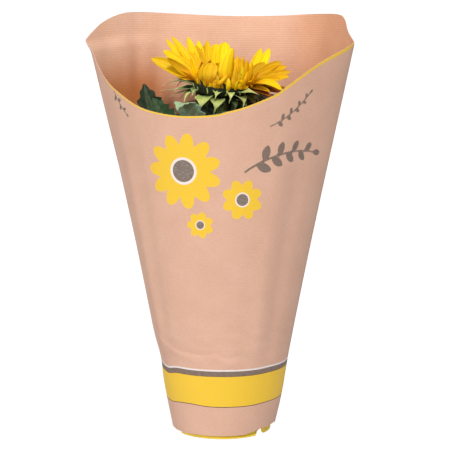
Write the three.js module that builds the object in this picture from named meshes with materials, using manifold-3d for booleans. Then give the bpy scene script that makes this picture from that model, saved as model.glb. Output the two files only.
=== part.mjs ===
// A dwarf sunflower in a plastic grower's pot, standing in a tapered kraft-paper sleeve.
// Millimetres, +Z up, -Y is the front. The origin is the centre of the pot's flat underside.

import * as THREE from "three";
import { mergeVertices } from "three/addons/utils/BufferGeometryUtils.js";
import Module from "manifold-3d";

const wasm = await Module();
wasm.setup();

// ---- Driving dimensions ----

const SEAT = 0.3; // clearance kept between pieces that rest on each other

const POT = {
  height: 105, // a 12 cm grower's pot
  footRadius: 46,
  shoulderRadius: 54.2, // wall radius just under the rim collar
  rimRadius: 59.6,
  rimHeight: 12,
  rimTaper: 1.7, // the collar is this much narrower at its lower edge
  wall: 1.6,
  floor: 8, // the foot's thickness, which the drainage arches are cut into
  sides: 48,
};

const FOOT_NOTCH = { count: 3, first: -36, width: 13, height: 6, depth: 11 }; // drainage arches, degrees

const SOIL = { top: 95, edge: 89, clearance: 0.55 };

const SLEEVE = {
  low: 3.6, // height of the lower edge at the middle of a panel
  lowRise: 1.5, // the lower edge climbs this much towards the seams
  corner: 380, // height of the two seam corners at the mouth
  thickness: 1.2,
  widthFoot: 49.4, // half width across the seams at the ground
  widthSlope: 0.2012,
  depths: [[0, 48], [105, 61.2], [380, 88]], // half depth, front to back, at three heights
  leftFlare: 4, // the left side opens this much more at its seam corner
  flareFrom: 260,
  roundBelow: 70, // the section is an ellipse up to here and grows seam corners above
};

// How full each panel's section is: 2 and 2 is an ellipse, a larger "flat" is squarer in the
// middle and a "corner" nearer 1 is sharper at the seams.
const FRONT = { side: -1, flat: 2.4, corner: 1.25, columns: 24, rows: 11, name: "sleeve_front" };
const BACK = { side: 1, flat: 4, corner: 1.1, columns: 24, rows: 11, name: "sleeve_back" };

// The front panel is cut away in a bowl: [share of the half width, height].
const FRONT_RIM = [
  [-1, 380], [-0.965, 357], [-0.9, 344], [-0.8, 335], [-0.6, 325], [-0.3, 321],
  [0, 322.5], [0.25, 328.5], [0.5, 341], [0.68, 357], [0.84, 367], [1, 380],
];
const BACK_EDGE = {
  middle: 16.5, // rise above the seam corners
  shoulder: 6, // further rise towards the shoulders
  left: { round: 6, drop: 0.62 }, // a large, slack left shoulder and a tight right one
  right: { round: 13, drop: 0.9 },
};

const STEM = { foot: 7.2, bottom: 5.6, top: 4.4, head: 323, lean: [0, 2], bow: 3, sides: 10, rows: 10 };

// Leaves in tiers up the stem. attach and tip are heights, reach is the share of the sleeve's radius.
const TIERS = [
  { attach: 122, tip: 196, count: 2, turn: 15, reach: 0.78, width: 44, step: 0 },
  { attach: 158, tip: 242, count: 3, turn: 75, reach: 0.78, width: 54, step: 3 },
  { attach: 202, tip: 292, count: 4, turn: 20, reach: 0.78, width: 60, step: 4 },
  { attach: 244, tip: 338, count: 5, turn: 46, reach: 0.71, width: 60, step: 4 },
];
const LEAF = { thickness: 1.6, petioleShare: 0.4, petioleRadius: 2.4, cup: 5, tipArch: 9, joint: 0.0025, sink: 15 };

const HEAD = { tilt: [4, 5], radius: 21, shoulder: 19.9, neck: 5.2, height: 15, rimHeight: 4 };
const DISC = { radius: 18.5, height: 9 };
const RAYS = { sprays: 10, spread: 33, inner: 21.3, outer: 71, rise: 39, thickness: 3, lobes: 2.4, lobeDepth: 0.1 };
const BRACTS = { count: 14, inner: HEAD.shoulder + 0.35, outer: 44, drop: 11, thickness: 1.8, notch: 0.42, steps: 56 };

const COLOURS = {
  pot: 0xe8b62c, soil: 0x3b2a1e, sleeveFront: 0xddb296, sleeveBack: 0xe0b597, stem: 0x7f9a4a,
  leaf: 0x3f6a3a, petiole: 0x86a050, head: 0x8fa65a, disc: 0xd98a12, rays: 0xf2c313, bracts: 0xa9bd72,
};

// ---- Helpers ----

const radians = THREE.MathUtils.degToRad;

function mesh(name, geometry, color, roughness = 0.75) {
  const made = new THREE.Mesh(geometry, new THREE.MeshStandardMaterial({ color, roughness, metalness: 0 }));
  made.name = name;
  return made;
}

/** Moves every vertex of a closed geometry: place takes a Vector3 and returns where it goes. */
function mapped(geometry, place) {
  const position = geometry.attributes.position;
  const point = new THREE.Vector3();
  for (let i = 0; i < position.count; i += 1) {
    const moved = place(point.fromBufferAttribute(position, i).clone());
    position.setXYZ(i, moved.x, moved.y, moved.z);
  }
  return geometry;
}

/** A block from -1 to 1 across, -1 to 1 through and 0 to 1 along, ready to be mapped. */
function slab(columns, rows) {
  return new THREE.BoxGeometry(2, 2, 1, columns, 1, rows).translate(0, 0, 0.5);
}

/** A drum of radius 1 that runs from 0 to 1 along +Z, ready to be mapped. */
function drum(sides, rows) {
  return new THREE.CylinderGeometry(1, 1, 1, sides, rows).rotateX(Math.PI / 2).translate(0, 0, 0.5);
}

/** A turned solid about +Z from [radius, height] pairs. */
function turned(profile, sides) {
  return new THREE.LatheGeometry(profile.map(([r, z]) => new THREE.Vector2(r, z)), sides).rotateX(Math.PI / 2);
}

function toManifold(geometry) {
  const plain = geometry.clone();
  plain.deleteAttribute("normal");
  plain.deleteAttribute("uv");
  const welded = mergeVertices(plain, 1e-4);
  const numbers = { vertProperties: welded.attributes.position.array, triVerts: new Uint32Array(welded.index.array) };
  return new wasm.Manifold(new wasm.Mesh({ numProp: 3, ...numbers }));
}

function fromManifold(solid) {
  const result = solid.getMesh();
  const geometry = new THREE.BufferGeometry();
  geometry.setAttribute("position", new THREE.BufferAttribute(result.vertProperties, 3));
  geometry.setIndex(new THREE.BufferAttribute(result.triVerts, 1));
  return geometry;
}

/** The parabola through three [x, value] pairs. */
function parabola(x, points) {
  return points.reduce((sum, [xi, vi]) => {
    const others = points.filter(([xj]) => xj !== xi);
    return sum + vi * others.reduce((product, [xj]) => product * (x - xj) / (xi - xj), 1);
  }, 0);
}

// ---- Sleeve ----

const frontRim = new THREE.SplineCurve(FRONT_RIM.map(([u, z]) => new THREE.Vector2(u, z))).getPoints(240);

/** Height of the front rim at u, from -1 at the left seam to 1 at the right seam. */
function frontTop(u) {
  const after = Math.max(1, frontRim.findIndex((p) => p.x >= u));
  const [p, q] = [frontRim[after - 1], frontRim[after]];
  return THREE.MathUtils.mapLinear(u, p.x, q.x, p.y, q.y);
}

/** Height of the back panel's top edge: round shoulders and a slight sag in the middle. */
function backTop(u) {
  const w = Math.abs(u);
  const { round, drop } = u < 0 ? BACK_EDGE.left : BACK_EDGE.right;
  const shoulder = Math.max(0, 1 - w ** round) ** drop;
  return SLEEVE.corner + (BACK_EDGE.middle + BACK_EDGE.shoulder * w ** 3) * shoulder;
}

function halfWidth(z, u) {
  const flare = Math.max(0, z - SLEEVE.flareFrom) / (SLEEVE.corner - SLEEVE.flareFrom);
  return SLEEVE.widthFoot + SLEEVE.widthSlope * z + (u < 0 ? SLEEVE.leftFlare * flare : 0);
}

/** The panel's surface at u across and height z, inset is how far inside the outer face. */
function panelPoint(panel, u, z, inset) {
  const grown = THREE.MathUtils.smoothstep(z, SLEEVE.roundBelow, SLEEVE.corner);
  const flat = THREE.MathUtils.lerp(2, panel.flat, grown);
  const corner = THREE.MathUtils.lerp(2, panel.corner, grown);
  const bulge = Math.max(0, 1 - Math.abs(u) ** flat) ** (1 / corner);
  const depth = parabola(z, SLEEVE.depths) - inset - SEAT / 2;
  return new THREE.Vector3((halfWidth(z, u) - inset) * u, panel.side * (SEAT / 2 + depth * bulge), z);
}

function sleevePanel(panel, top, color) {
  const shell = mapped(slab(panel.columns, panel.rows), (p) => {
    const u = Math.sin(p.x * Math.PI / 2);
    const low = SLEEVE.low + SLEEVE.lowRise * u * u;
    const z = THREE.MathUtils.lerp(low, top(u), p.z);
    return panelPoint(panel, u, z, p.y * panel.side > 0 ? 0 : SLEEVE.thickness);
  });
  return mesh(panel.name, shell, color, 0.85);
}

/** The sleeve's inner radius in direction azimuth (radians) at height z. */
function sleeveRadius(azimuth, z) {
  const a = halfWidth(z, 1) - SLEEVE.thickness;
  const b = parabola(z, SLEEVE.depths) - SLEEVE.thickness;
  return 1 / Math.hypot(Math.cos(azimuth) / a, Math.sin(azimuth) / b);
}

// ---- Pot and soil ----

function wallRadius(z) {
  return THREE.MathUtils.mapLinear(z, 0, POT.height - POT.rimHeight, POT.footRadius, POT.shoulderRadius);
}

function pot() {
  const collar = POT.height - POT.rimHeight;
  const outside = [[0, 0], [POT.footRadius, 0], [POT.shoulderRadius, collar], [POT.rimRadius - POT.rimTaper, collar],
    [POT.rimRadius, POT.height]];
  const inside = [[POT.rimRadius - POT.wall, POT.height], [POT.shoulderRadius - POT.wall + 1, collar + 2],
    [wallRadius(collar - 2) - POT.wall, collar - 2], [wallRadius(POT.floor) - POT.wall, POT.floor], [0, POT.floor]];
  let body = toManifold(turned([...outside, ...inside], POT.sides));
  for (let i = 0; i < FOOT_NOTCH.count; i += 1) {
    const arch = new THREE.CylinderGeometry(1, 1, 2 * FOOT_NOTCH.depth, 16);
    arch.scale(FOOT_NOTCH.width / 2, 1, FOOT_NOTCH.height).translate(0, -POT.footRadius - 1, 0);
    arch.rotateZ(radians(90 + FOOT_NOTCH.first + i * 360 / FOOT_NOTCH.count));
    body = body.subtract(toManifold(arch));
  }
  return mesh("pot", fromManifold(body), COLOURS.pot, 0.45);
}

/** The soil fills the pot and domes slightly to the stem. */
function soil() {
  const floor = POT.floor + SEAT;
  const radius = (z) => wallRadius(z) - POT.wall - SOIL.clearance;
  const profile = [[0, floor], [radius(floor), floor], [radius(SOIL.edge), SOIL.edge],
    [radius(SOIL.edge) * 0.9, (SOIL.edge + 2 * SOIL.top) / 3], [STEM.foot * 2, SOIL.top], [0, SOIL.top]];
  return mesh("soil", turned(profile, 32), COLOURS.soil, 0.95);
}

// ---- Stem, petioles and leaves ----

/** Centre of the stem at height z: a slight lean with a bow in it. */
function stemCentre(z) {
  const t = (z - SOIL.top) / (STEM.head - SOIL.top);
  const bow = STEM.bow * Math.sin(Math.PI * t);
  return new THREE.Vector3(STEM.lean[0] * t - bow, STEM.lean[1] * t * t, z);
}

function stemRadius(z) {
  const t = (z - SOIL.top) / (STEM.head - SOIL.top);
  return THREE.MathUtils.lerp(STEM.bottom, STEM.top, t) + (STEM.foot - STEM.bottom) * Math.exp(-14 * t);
}

/** The stem's solid, grown outwards all round by the given margin. */
function stemShaft(margin) {
  return mapped(drum(STEM.sides, STEM.rows), (p) => {
    const z = THREE.MathUtils.lerp(SOIL.top + SEAT, STEM.head, p.z);
    const radius = stemRadius(z) + margin;
    return stemCentre(z).add(new THREE.Vector3(p.x * radius, p.y * radius, 0));
  });
}

/** The midrib from the stem's centre to the leaf tip, in the upright plane at azimuth. */
function midrib(azimuth, attach, tip, reach) {
  const foot = stemCentre(attach);
  const out = new THREE.Vector3(Math.cos(azimuth), Math.sin(azimuth), 0);
  const length = reach * sleeveRadius(azimuth, tip);
  const at = (share, z) => out.clone().multiplyScalar(length * share).setZ(z);
  const rise = tip - attach;
  return new THREE.CubicBezierCurve3(
    foot, at(0.42, attach + 0.3 * rise), at(0.72, tip + LEAF.tipArch), at(1, tip),
  );
}

/** Position and directions of a midrib at t: along it, across it (level) and up from its face. */
function ribFrame(curve, t) {
  const along = curve.getTangent(t);
  const across = new THREE.Vector3(0, 0, 1).cross(along).normalize();
  return { centre: curve.getPoint(t), along, across, up: along.clone().cross(across) };
}

/** A leaf stalk that tapers along the midrib and is cut off where it meets the stem's skin. */
function petiole(name, curve, around) {
  const stretch = LEAF.petioleShare - LEAF.joint;
  const limb = mapped(drum(6, 5), (p) => {
    const { centre, across, up } = ribFrame(curve, p.z * stretch);
    const radius = LEAF.petioleRadius * (1 - 0.35 * p.z);
    return centre.addScaledVector(across, p.x * radius).addScaledVector(up, p.y * radius);
  });
  return mesh(name, fromManifold(toManifold(limb).subtract(around)), COLOURS.petiole);
}

/** Half width of the heart-shaped blade at s, from 0 at its base to 1 at its tip, as a share. */
function bladeOutline(s) {
  return Math.max(0.06, Math.sin(Math.PI * s ** 0.62) ** 0.75 * (1 - 0.25 * s));
}

function leaf(name, curve, width) {
  const blade = mapped(slab(4, 7), (p) => {
    const t = THREE.MathUtils.lerp(LEAF.petioleShare, 1, p.z);
    const { centre, across, up } = ribFrame(curve, t);
    const half = width / 2 * bladeOutline(p.z);
    const lift = LEAF.cup * p.x * p.x * bladeOutline(p.z) + p.y * LEAF.thickness / 2;
    return centre.addScaledVector(across, p.x * half).addScaledVector(up, lift);
  });
  return mesh(name, blade, COLOURS.leaf);
}

function foliage() {
  const grown = new THREE.Group();
  const around = toManifold(stemShaft(SEAT));
  let number = 1;
  for (const tier of TIERS) {
    for (let i = 0; i < tier.count; i += 1) {
      const azimuth = radians(tier.turn + i * 360 / tier.count);
      const shift = tier.step * (i % 2 ? 1 : -1);
      const sink = LEAF.sink * Math.sin(azimuth) ** 2; // the sleeve is narrower front to back
      const curve = midrib(azimuth, tier.attach + shift, tier.tip + shift - sink, tier.reach);
      const label = String(number).padStart(2, "0");
      grown.add(petiole(`petiole_${label}`, curve, around), leaf(`leaf_${label}`, curve, tier.width));
      number += 1;
    }
  }
  return grown;
}

// ---- Flower head, built about its own axis with the rim of the receptacle at height 0 ----

function receptacle() {
  const profile = [[0, -HEAD.height], [HEAD.neck, -HEAD.height], [HEAD.shoulder * 0.65, -HEAD.height * 0.62],
    [HEAD.shoulder, -HEAD.rimHeight], [HEAD.radius, 0], [0, 0]];
  return mesh("receptacle", turned(profile, 24), COLOURS.head);
}

function discFlorets() {
  const steps = 5;
  const dome = Array.from({ length: steps + 1 }, (_, i) => {
    const angle = i / steps * Math.PI / 2;
    return [DISC.radius * Math.cos(angle), SEAT + 1 + DISC.height * Math.sin(angle)];
  });
  dome[steps][0] = 0;
  return mesh("disc_florets", turned([[0, SEAT], [DISC.radius, SEAT], ...dome], 24), COLOURS.disc);
}

/** One fan of ray florets: it rises in a curve from the receptacle's rim to lobed tips. */
function raySpray(index) {
  const middle = index * 360 / RAYS.sprays;
  const fan = mapped(slab(6, 5), (p) => {
    const angle = radians(middle + p.x * RAYS.spread / 2 * (0.72 + 0.28 * p.z));
    const lobe = 1 - RAYS.lobeDepth * Math.abs(Math.sin(p.x * RAYS.lobes)) - 0.05 * ((index + 1) % 3);
    const radius = THREE.MathUtils.lerp(RAYS.inner, RAYS.outer * lobe, p.z);
    const height = RAYS.rise * Math.sin(p.z * 1.25) * (0.92 + 0.08 * Math.cos(index * 2.4));
    const lift = height + p.y * RAYS.thickness / 2 * (1 - 0.5 * p.z) - RAYS.thickness / 2;
    return new THREE.Vector3(radius * Math.cos(angle), radius * Math.sin(angle), lift);
  });
  return mesh(`ray_spray_${String(index + 1).padStart(2, "0")}`, fan, COLOURS.rays, 0.6);
}

/** A collar of pointed bracts under the rays: a thin dished ring with a notch between points. */
function bractCollar() {
  const section = [[0, 0], [0.4, -0.5], [1, 0], [0.4, 0.5], [0, 0]];
  const ring = turned(section.map(([s, lift]) => [1 + s, lift]), BRACTS.steps);
  const collar = mapped(ring, (p) => {
    const s = Math.hypot(p.x, p.y) - 1;
    const angle = Math.atan2(p.y, p.x);
    const between = Math.abs(Math.sin(angle * BRACTS.count / 2));
    const span = (BRACTS.outer - BRACTS.inner) * (1 - BRACTS.notch * between);
    const radius = BRACTS.inner + s * span;
    const height = -HEAD.rimHeight - BRACTS.drop * s * s + p.z * BRACTS.thickness;
    return new THREE.Vector3(radius * Math.cos(angle), radius * Math.sin(angle), height);
  });
  return mesh("bract_collar", collar, COLOURS.bracts);
}

function flowerHead() {
  const head = new THREE.Group();
  head.add(receptacle(), discFlorets(), bractCollar());
  for (let i = 0; i < RAYS.sprays; i += 1) head.add(raySpray(i));
  head.position.copy(stemCentre(STEM.head)).add(new THREE.Vector3(0, 0, HEAD.height + 3 * SEAT));
  head.rotation.set(radians(HEAD.tilt[0]), radians(HEAD.tilt[1]), 0);
  return head;
}

// ---- Whole plant in its sleeve ----

const plant = new THREE.Group();
plant.add(pot(), soil(), mesh("stem", stemShaft(0), COLOURS.stem), foliage(), flowerHead());
plant.add(sleevePanel(FRONT, frontTop, COLOURS.sleeveFront), sleevePanel(BACK, backTop, COLOURS.sleeveBack));

export default plant;
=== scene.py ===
"""A potted dwarf sunflower in a kraft-paper sleeve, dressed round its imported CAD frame, for Blender 4.5.

Shapes are worked out in millimetres, in the frame's axes (+Z up, -Y the front, origin under the pot), and
become metres when a mesh is made. Each sub-assembly is a class: its sizes are fields, and its build method
makes its pieces.
"""

import logging
import math
from dataclasses import dataclass, field, replace
from enum import Enum
from typing import Any, Iterator, Sequence

import bpy
import numpy as np
from mathutils import Euler, Matrix, Vector


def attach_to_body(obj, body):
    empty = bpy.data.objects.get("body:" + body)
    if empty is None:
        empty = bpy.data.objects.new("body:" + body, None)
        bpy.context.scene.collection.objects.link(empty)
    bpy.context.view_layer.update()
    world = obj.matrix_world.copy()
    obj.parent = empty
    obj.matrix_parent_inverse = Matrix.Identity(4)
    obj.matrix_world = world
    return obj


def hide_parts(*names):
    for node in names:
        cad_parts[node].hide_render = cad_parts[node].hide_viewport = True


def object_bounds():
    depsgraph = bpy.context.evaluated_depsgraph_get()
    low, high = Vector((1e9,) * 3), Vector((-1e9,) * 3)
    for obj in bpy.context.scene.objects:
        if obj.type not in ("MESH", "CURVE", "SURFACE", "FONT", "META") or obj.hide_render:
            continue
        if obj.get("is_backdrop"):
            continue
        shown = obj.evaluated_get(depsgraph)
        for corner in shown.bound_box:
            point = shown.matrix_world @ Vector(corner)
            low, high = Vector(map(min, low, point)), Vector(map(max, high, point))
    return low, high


Array = np.ndarray
Socket = bpy.types.NodeSocket
Colour = tuple[float, float, float, float]
Points = tuple[tuple[float, float], ...]
Span = float | tuple[float, float]

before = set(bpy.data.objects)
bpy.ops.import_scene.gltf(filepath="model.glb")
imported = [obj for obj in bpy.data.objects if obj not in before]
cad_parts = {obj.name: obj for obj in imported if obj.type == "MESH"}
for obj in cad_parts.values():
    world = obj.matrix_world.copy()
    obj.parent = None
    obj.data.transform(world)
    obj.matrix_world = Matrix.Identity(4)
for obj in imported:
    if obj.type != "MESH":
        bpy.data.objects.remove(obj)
CAD_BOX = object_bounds()

LOG = logging.getLogger("sunflower")
MM = 0.001
ROOT = "root"
SEED = 20
PAPER_MAP = "Paper"  # arc across a panel and height, in metres
BLADE_MAP = "Blade"  # -1 to 1 across a leaf, petal or bract, and 0 to 1 along it
TONE = "tone"  # one random number for each leaf, petal or bract
WHITE = (1.0, 1.0, 1.0, 1.0)
NO_INK = 99.0  # mm, a distance from which nothing is printed


# ---- Numbers ----


def linear(code: str) -> Colour:
    """Turns an sRGB hex colour into Blender's linear one.

    Args:
        code: six hex digits, such as "dbb092".

    Returns:
        Linear red, green, blue and an alpha of 1.
    """
    parts = [int(code[i : i + 2], 16) / 255 for i in (0, 2, 4)]
    light = [p / 12.92 if p <= 0.04045 else ((p + 0.055) / 1.055) ** 2.4 for p in parts]
    return (light[0], light[1], light[2], 1.0)


def ease(x: Array, low: float, high: float) -> Array:
    """Smooth step: 0 at low, 1 at high and 3t^2 - 2t^3 between them."""
    t = np.clip((x - low) / (high - low), 0.0, 1.0)
    return t * t * (3 - 2 * t)


def lerp(low: Any, high: Any, t: Any) -> Any:
    """The value a share t of the way from low to high."""
    return low + (high - low) * t


def unit(vectors: Array) -> Array:
    """Vectors of length 1 in the same directions."""
    return vectors / np.maximum(np.linalg.norm(vectors, axis=-1, keepdims=True), 1e-9)


def bump_at(x: Array, centre: Any, width: float) -> Array:
    """A bell, exp(-((x - centre) / width)^2)."""
    return np.exp(-(((x - centre) / width) ** 2))


def ripple(x: Array, y: Array, wave: float, rng: np.random.Generator, count: int = 5) -> Array:
    """Soft unevenness: the mean of a few plane sine waves of about one length in random directions.

    Args:
        x: first coordinate of each point.
        y: second coordinate of each point.
        wave: length of the waves.
        rng: seeded source of their directions and phases.
        count: how many waves.

    Returns:
        Values of about -1 to 1, in the shape of x.
    """
    total = np.zeros(np.broadcast(x, y).shape)
    for _ in range(count):
        angle, phase = rng.uniform(0, 2 * math.pi, 2)
        step = 2 * math.pi / (wave * rng.uniform(0.7, 1.4))
        total += np.sin(step * (x * math.cos(angle) + y * math.sin(angle)) + phase)
    return total * 1.5 / count


def around(count: int) -> Array:
    """Directions of count points evenly round a circle, in radians."""
    return np.linspace(0, 2 * math.pi, count, endpoint=False)


def polar(radius: Any, angle: Any, z: Any) -> Array:
    """Points by radius, direction and height, whose three coordinates lie along the last axis."""
    return np.stack(np.broadcast_arrays(radius * np.cos(angle), radius * np.sin(angle), z), -1)


def parabola(x: Array, points: Points) -> Array:
    """The parabola through three (x, value) points, by Lagrange's formula.

    Args:
        x: where it is wanted.
        points: three points it goes through.

    Returns:
        Its value at each x.
    """
    total = np.zeros(np.shape(x))
    for here, value in points:
        share = np.ones(np.shape(x))
        for other, _ in points:
            if other != here:
                share = share * (x - other) / (here - other)
        total = total + value * share
    return total


def spline(points: Points, count: int) -> Array:
    """A uniform Catmull-Rom curve through 2-D points, with its end points doubled.

    Args:
        points: the points it passes through.
        count: how many points to return along it.

    Returns:
        An array of count points.
    """
    known = np.array([points[0], *points, points[-1]])
    t = np.linspace(0, len(points) - 1, count)
    i = np.minimum(t.astype(int), len(points) - 2)
    t = (t - i)[:, None]
    p0, p1, p2, p3 = (known[i + k] for k in range(4))
    v0, v1 = (p2 - p0) / 2, (p3 - p1) / 2
    return (2 * p1 - 2 * p2 + v0 + v1) * t**3 + (3 * p2 - 3 * p1 - 2 * v0 - v1) * t**2 + v0 * t + p1


# ---- Meshes ----


def lattice(rows: int, columns: int, wrap: bool) -> tuple[Array, Array]:
    """Quads between the points of a grid.

    Args:
        rows: number of rows of points.
        columns: number of points in a row.
        wrap: whether the last column joins the first.

    Returns:
        The quads as point indices, and the (column, row) of each corner, the column counted on past a wrap.
    """
    i, j = np.meshgrid(np.arange(rows - 1), np.arange(columns - (not wrap)), indexing="ij")
    i, j = i.ravel()[:, None], j.ravel()[:, None]
    row, column = i + np.array([0, 0, 1, 1]), j + np.array([0, 1, 1, 0])
    return row * columns + column % columns, np.stack([column, row], -1)


def both_faces(grid: Array) -> Array:
    """The values of a sheet's grid, row by row: across its one face and back across the other."""
    return np.concatenate([grid, grid[:, ::-1]], axis=1).reshape(2 * grid.shape[0] * grid.shape[1], -1)


class Skin:
    """Closed shapes gathered into one mesh. Every shape is turned so that its faces point outwards."""

    def __init__(self) -> None:
        """Starts with no shapes."""
        self.points: list[Array] = []
        self.faces: list[list[int]] = []
        self.looks: list[Array] = []
        self.uvs: list[Array] = []
        self.marks: dict[str, list[Array]] = {}
        self.count = 0

    def add(self, points: Array, faces: Sequence[Array], look: Any = 0, uv: Array | None = None,
            **marks: Any) -> None:
        """Adds one closed shape.

        Args:
            points: its points, in millimetres.
            faces: arrays of triangles or quads, as indices into points.
            look: the material number, one for all or one for each face.
            uv: a 2-D coordinate for each point.
            marks: numbers for each point, or one for all, kept as attributes.
        """
        # six times its volume, which is below 0 when its faces point inwards
        volume = sum(np.einsum("ij,ij->", points[f[:, 0]], np.cross(points[f[:, k]], points[f[:, k + 1]]))
                     for f in faces for k in range(1, f.shape[1] - 1))
        for group in faces:
            outward = group if volume > 0 else group[:, ::-1]
            self.faces += (outward + self.count).tolist()
        self.points.append(points)
        self.looks.append(np.broadcast_to(look, sum(len(f) for f in faces)))
        self.uvs.append(np.zeros((len(points), 2)) if uv is None else uv)
        for name, value in marks.items():
            self.marks.setdefault(name, []).append(np.broadcast_to(value, len(points)))
        self.count += len(points)

    def rings(self, rings: Array, look: Any = 0, **marks: Any) -> None:
        """Adds a closed round shape: rings of points, joined in turn, and closed to a point at each end.

        Args:
            rings: array of (rings, points in a ring, 3).
            look: the material number.
            marks: numbers kept as attributes.
        """
        rows, columns, _ = rings.shape
        quads, _ = lattice(rows, columns, wrap=True)
        first, last = rows * columns, rows * columns + 1
        j = np.arange(columns)
        k = (j + 1) % columns
        start = np.stack([k, j, np.full(columns, first)], -1)
        end = np.stack([j, k, np.full(columns, last - (rows - 1) * columns)], -1) + (rows - 1) * columns
        points = np.concatenate([rings.reshape(-1, 3), rings[[0, -1]].mean(axis=1)])
        self.add(points, [quads, start, end], look, **marks)

    def sheet(self, middle: Array, thickness: Any, uv: Array, looks: tuple[int, int] = (0, 0),
              **marks: Any) -> None:
        """Adds a thin closed sheet: its middle surface moved half the thickness each way along its normal.

        Args:
            middle: grid of (along, across, 3) points.
            thickness: one thickness, or one for each point of the grid.
            uv: grid of 2-D coordinates.
            looks: the material numbers of the side that across crossed with along points to, and the other.
            marks: numbers for each point of the grid, or one for all.
        """
        rows, columns, _ = middle.shape
        normal = unit(np.cross(np.gradient(middle, axis=1), np.gradient(middle, axis=0)))
        half = np.broadcast_to(thickness, (rows, columns))[..., None] / 2 * normal
        ring = np.concatenate([middle + half, (middle - half)[:, ::-1]], axis=1)
        quads, place = lattice(rows, 2 * columns, wrap=True)
        j = np.arange(columns - 1)
        top, under = j, 2 * columns - 1 - j
        foot = np.stack([top + 1, top, under, under - 1], -1)
        tip = np.stack([top, top + 1, under - 1, under], -1) + (rows - 1) * 2 * columns
        flat = {name: both_faces(np.broadcast_to(value, (rows, columns))[..., None])[:, 0]
                for name, value in marks.items()}
        look = np.where(place[:, 0, 0] < columns - 1, looks[0], looks[1])
        look = np.concatenate([look, np.full(2 * (columns - 1), looks[1])])
        self.add(ring.reshape(-1, 3), [quads, foot, tip], look, both_faces(uv), **flat)

    def made(self, name: str, finishes: Sequence[bpy.types.Material], slot: str, *nodes: str, uv: str = "",
             crease: float = 55.0) -> bpy.types.Object:
        """Makes the mesh and its object, which rides the frame's one body.

        Args:
            name: the piece's name.
            finishes: its materials, in the order of the look numbers.
            slot: the record's material slot; not used.
            nodes: the CAD nodes that it stands for.
            uv: name of its UV map, or none.
            crease: angle in degrees from which an edge stays sharp.

        Returns:
            The new object.
        """
        mesh = bpy.data.meshes.new(name)
        mesh.from_pydata((np.concatenate(self.points) * MM).tolist(), [], self.faces)
        for finish in finishes:
            mesh.materials.append(finish)
        mesh.polygons.foreach_set("material_index", np.concatenate(self.looks).astype(np.int32))
        if uv:
            corner = np.empty(len(mesh.loops), np.int32)
            mesh.loops.foreach_get("vertex_index", corner)
            layer = mesh.uv_layers.new(name=uv)
            layer.data.foreach_set("uv", np.concatenate(self.uvs)[corner].astype(np.float32).ravel())
        for key, values in self.marks.items():
            mark = mesh.attributes.new(key, "FLOAT", "POINT")
            mark.data.foreach_set("value", np.concatenate(values).astype(np.float32))
        mesh.shade_smooth()
        mesh.set_sharp_from_angle(angle=math.radians(crease))
        mesh.update()
        piece = bpy.data.objects.new(name, mesh)
        bpy.context.scene.collection.objects.link(piece)
        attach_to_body(piece, ROOT)
        if nodes:
            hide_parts(*nodes)
        LOG.info("%s: %d faces", name, len(mesh.polygons))
        return piece


# ---- Finishes ----


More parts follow.
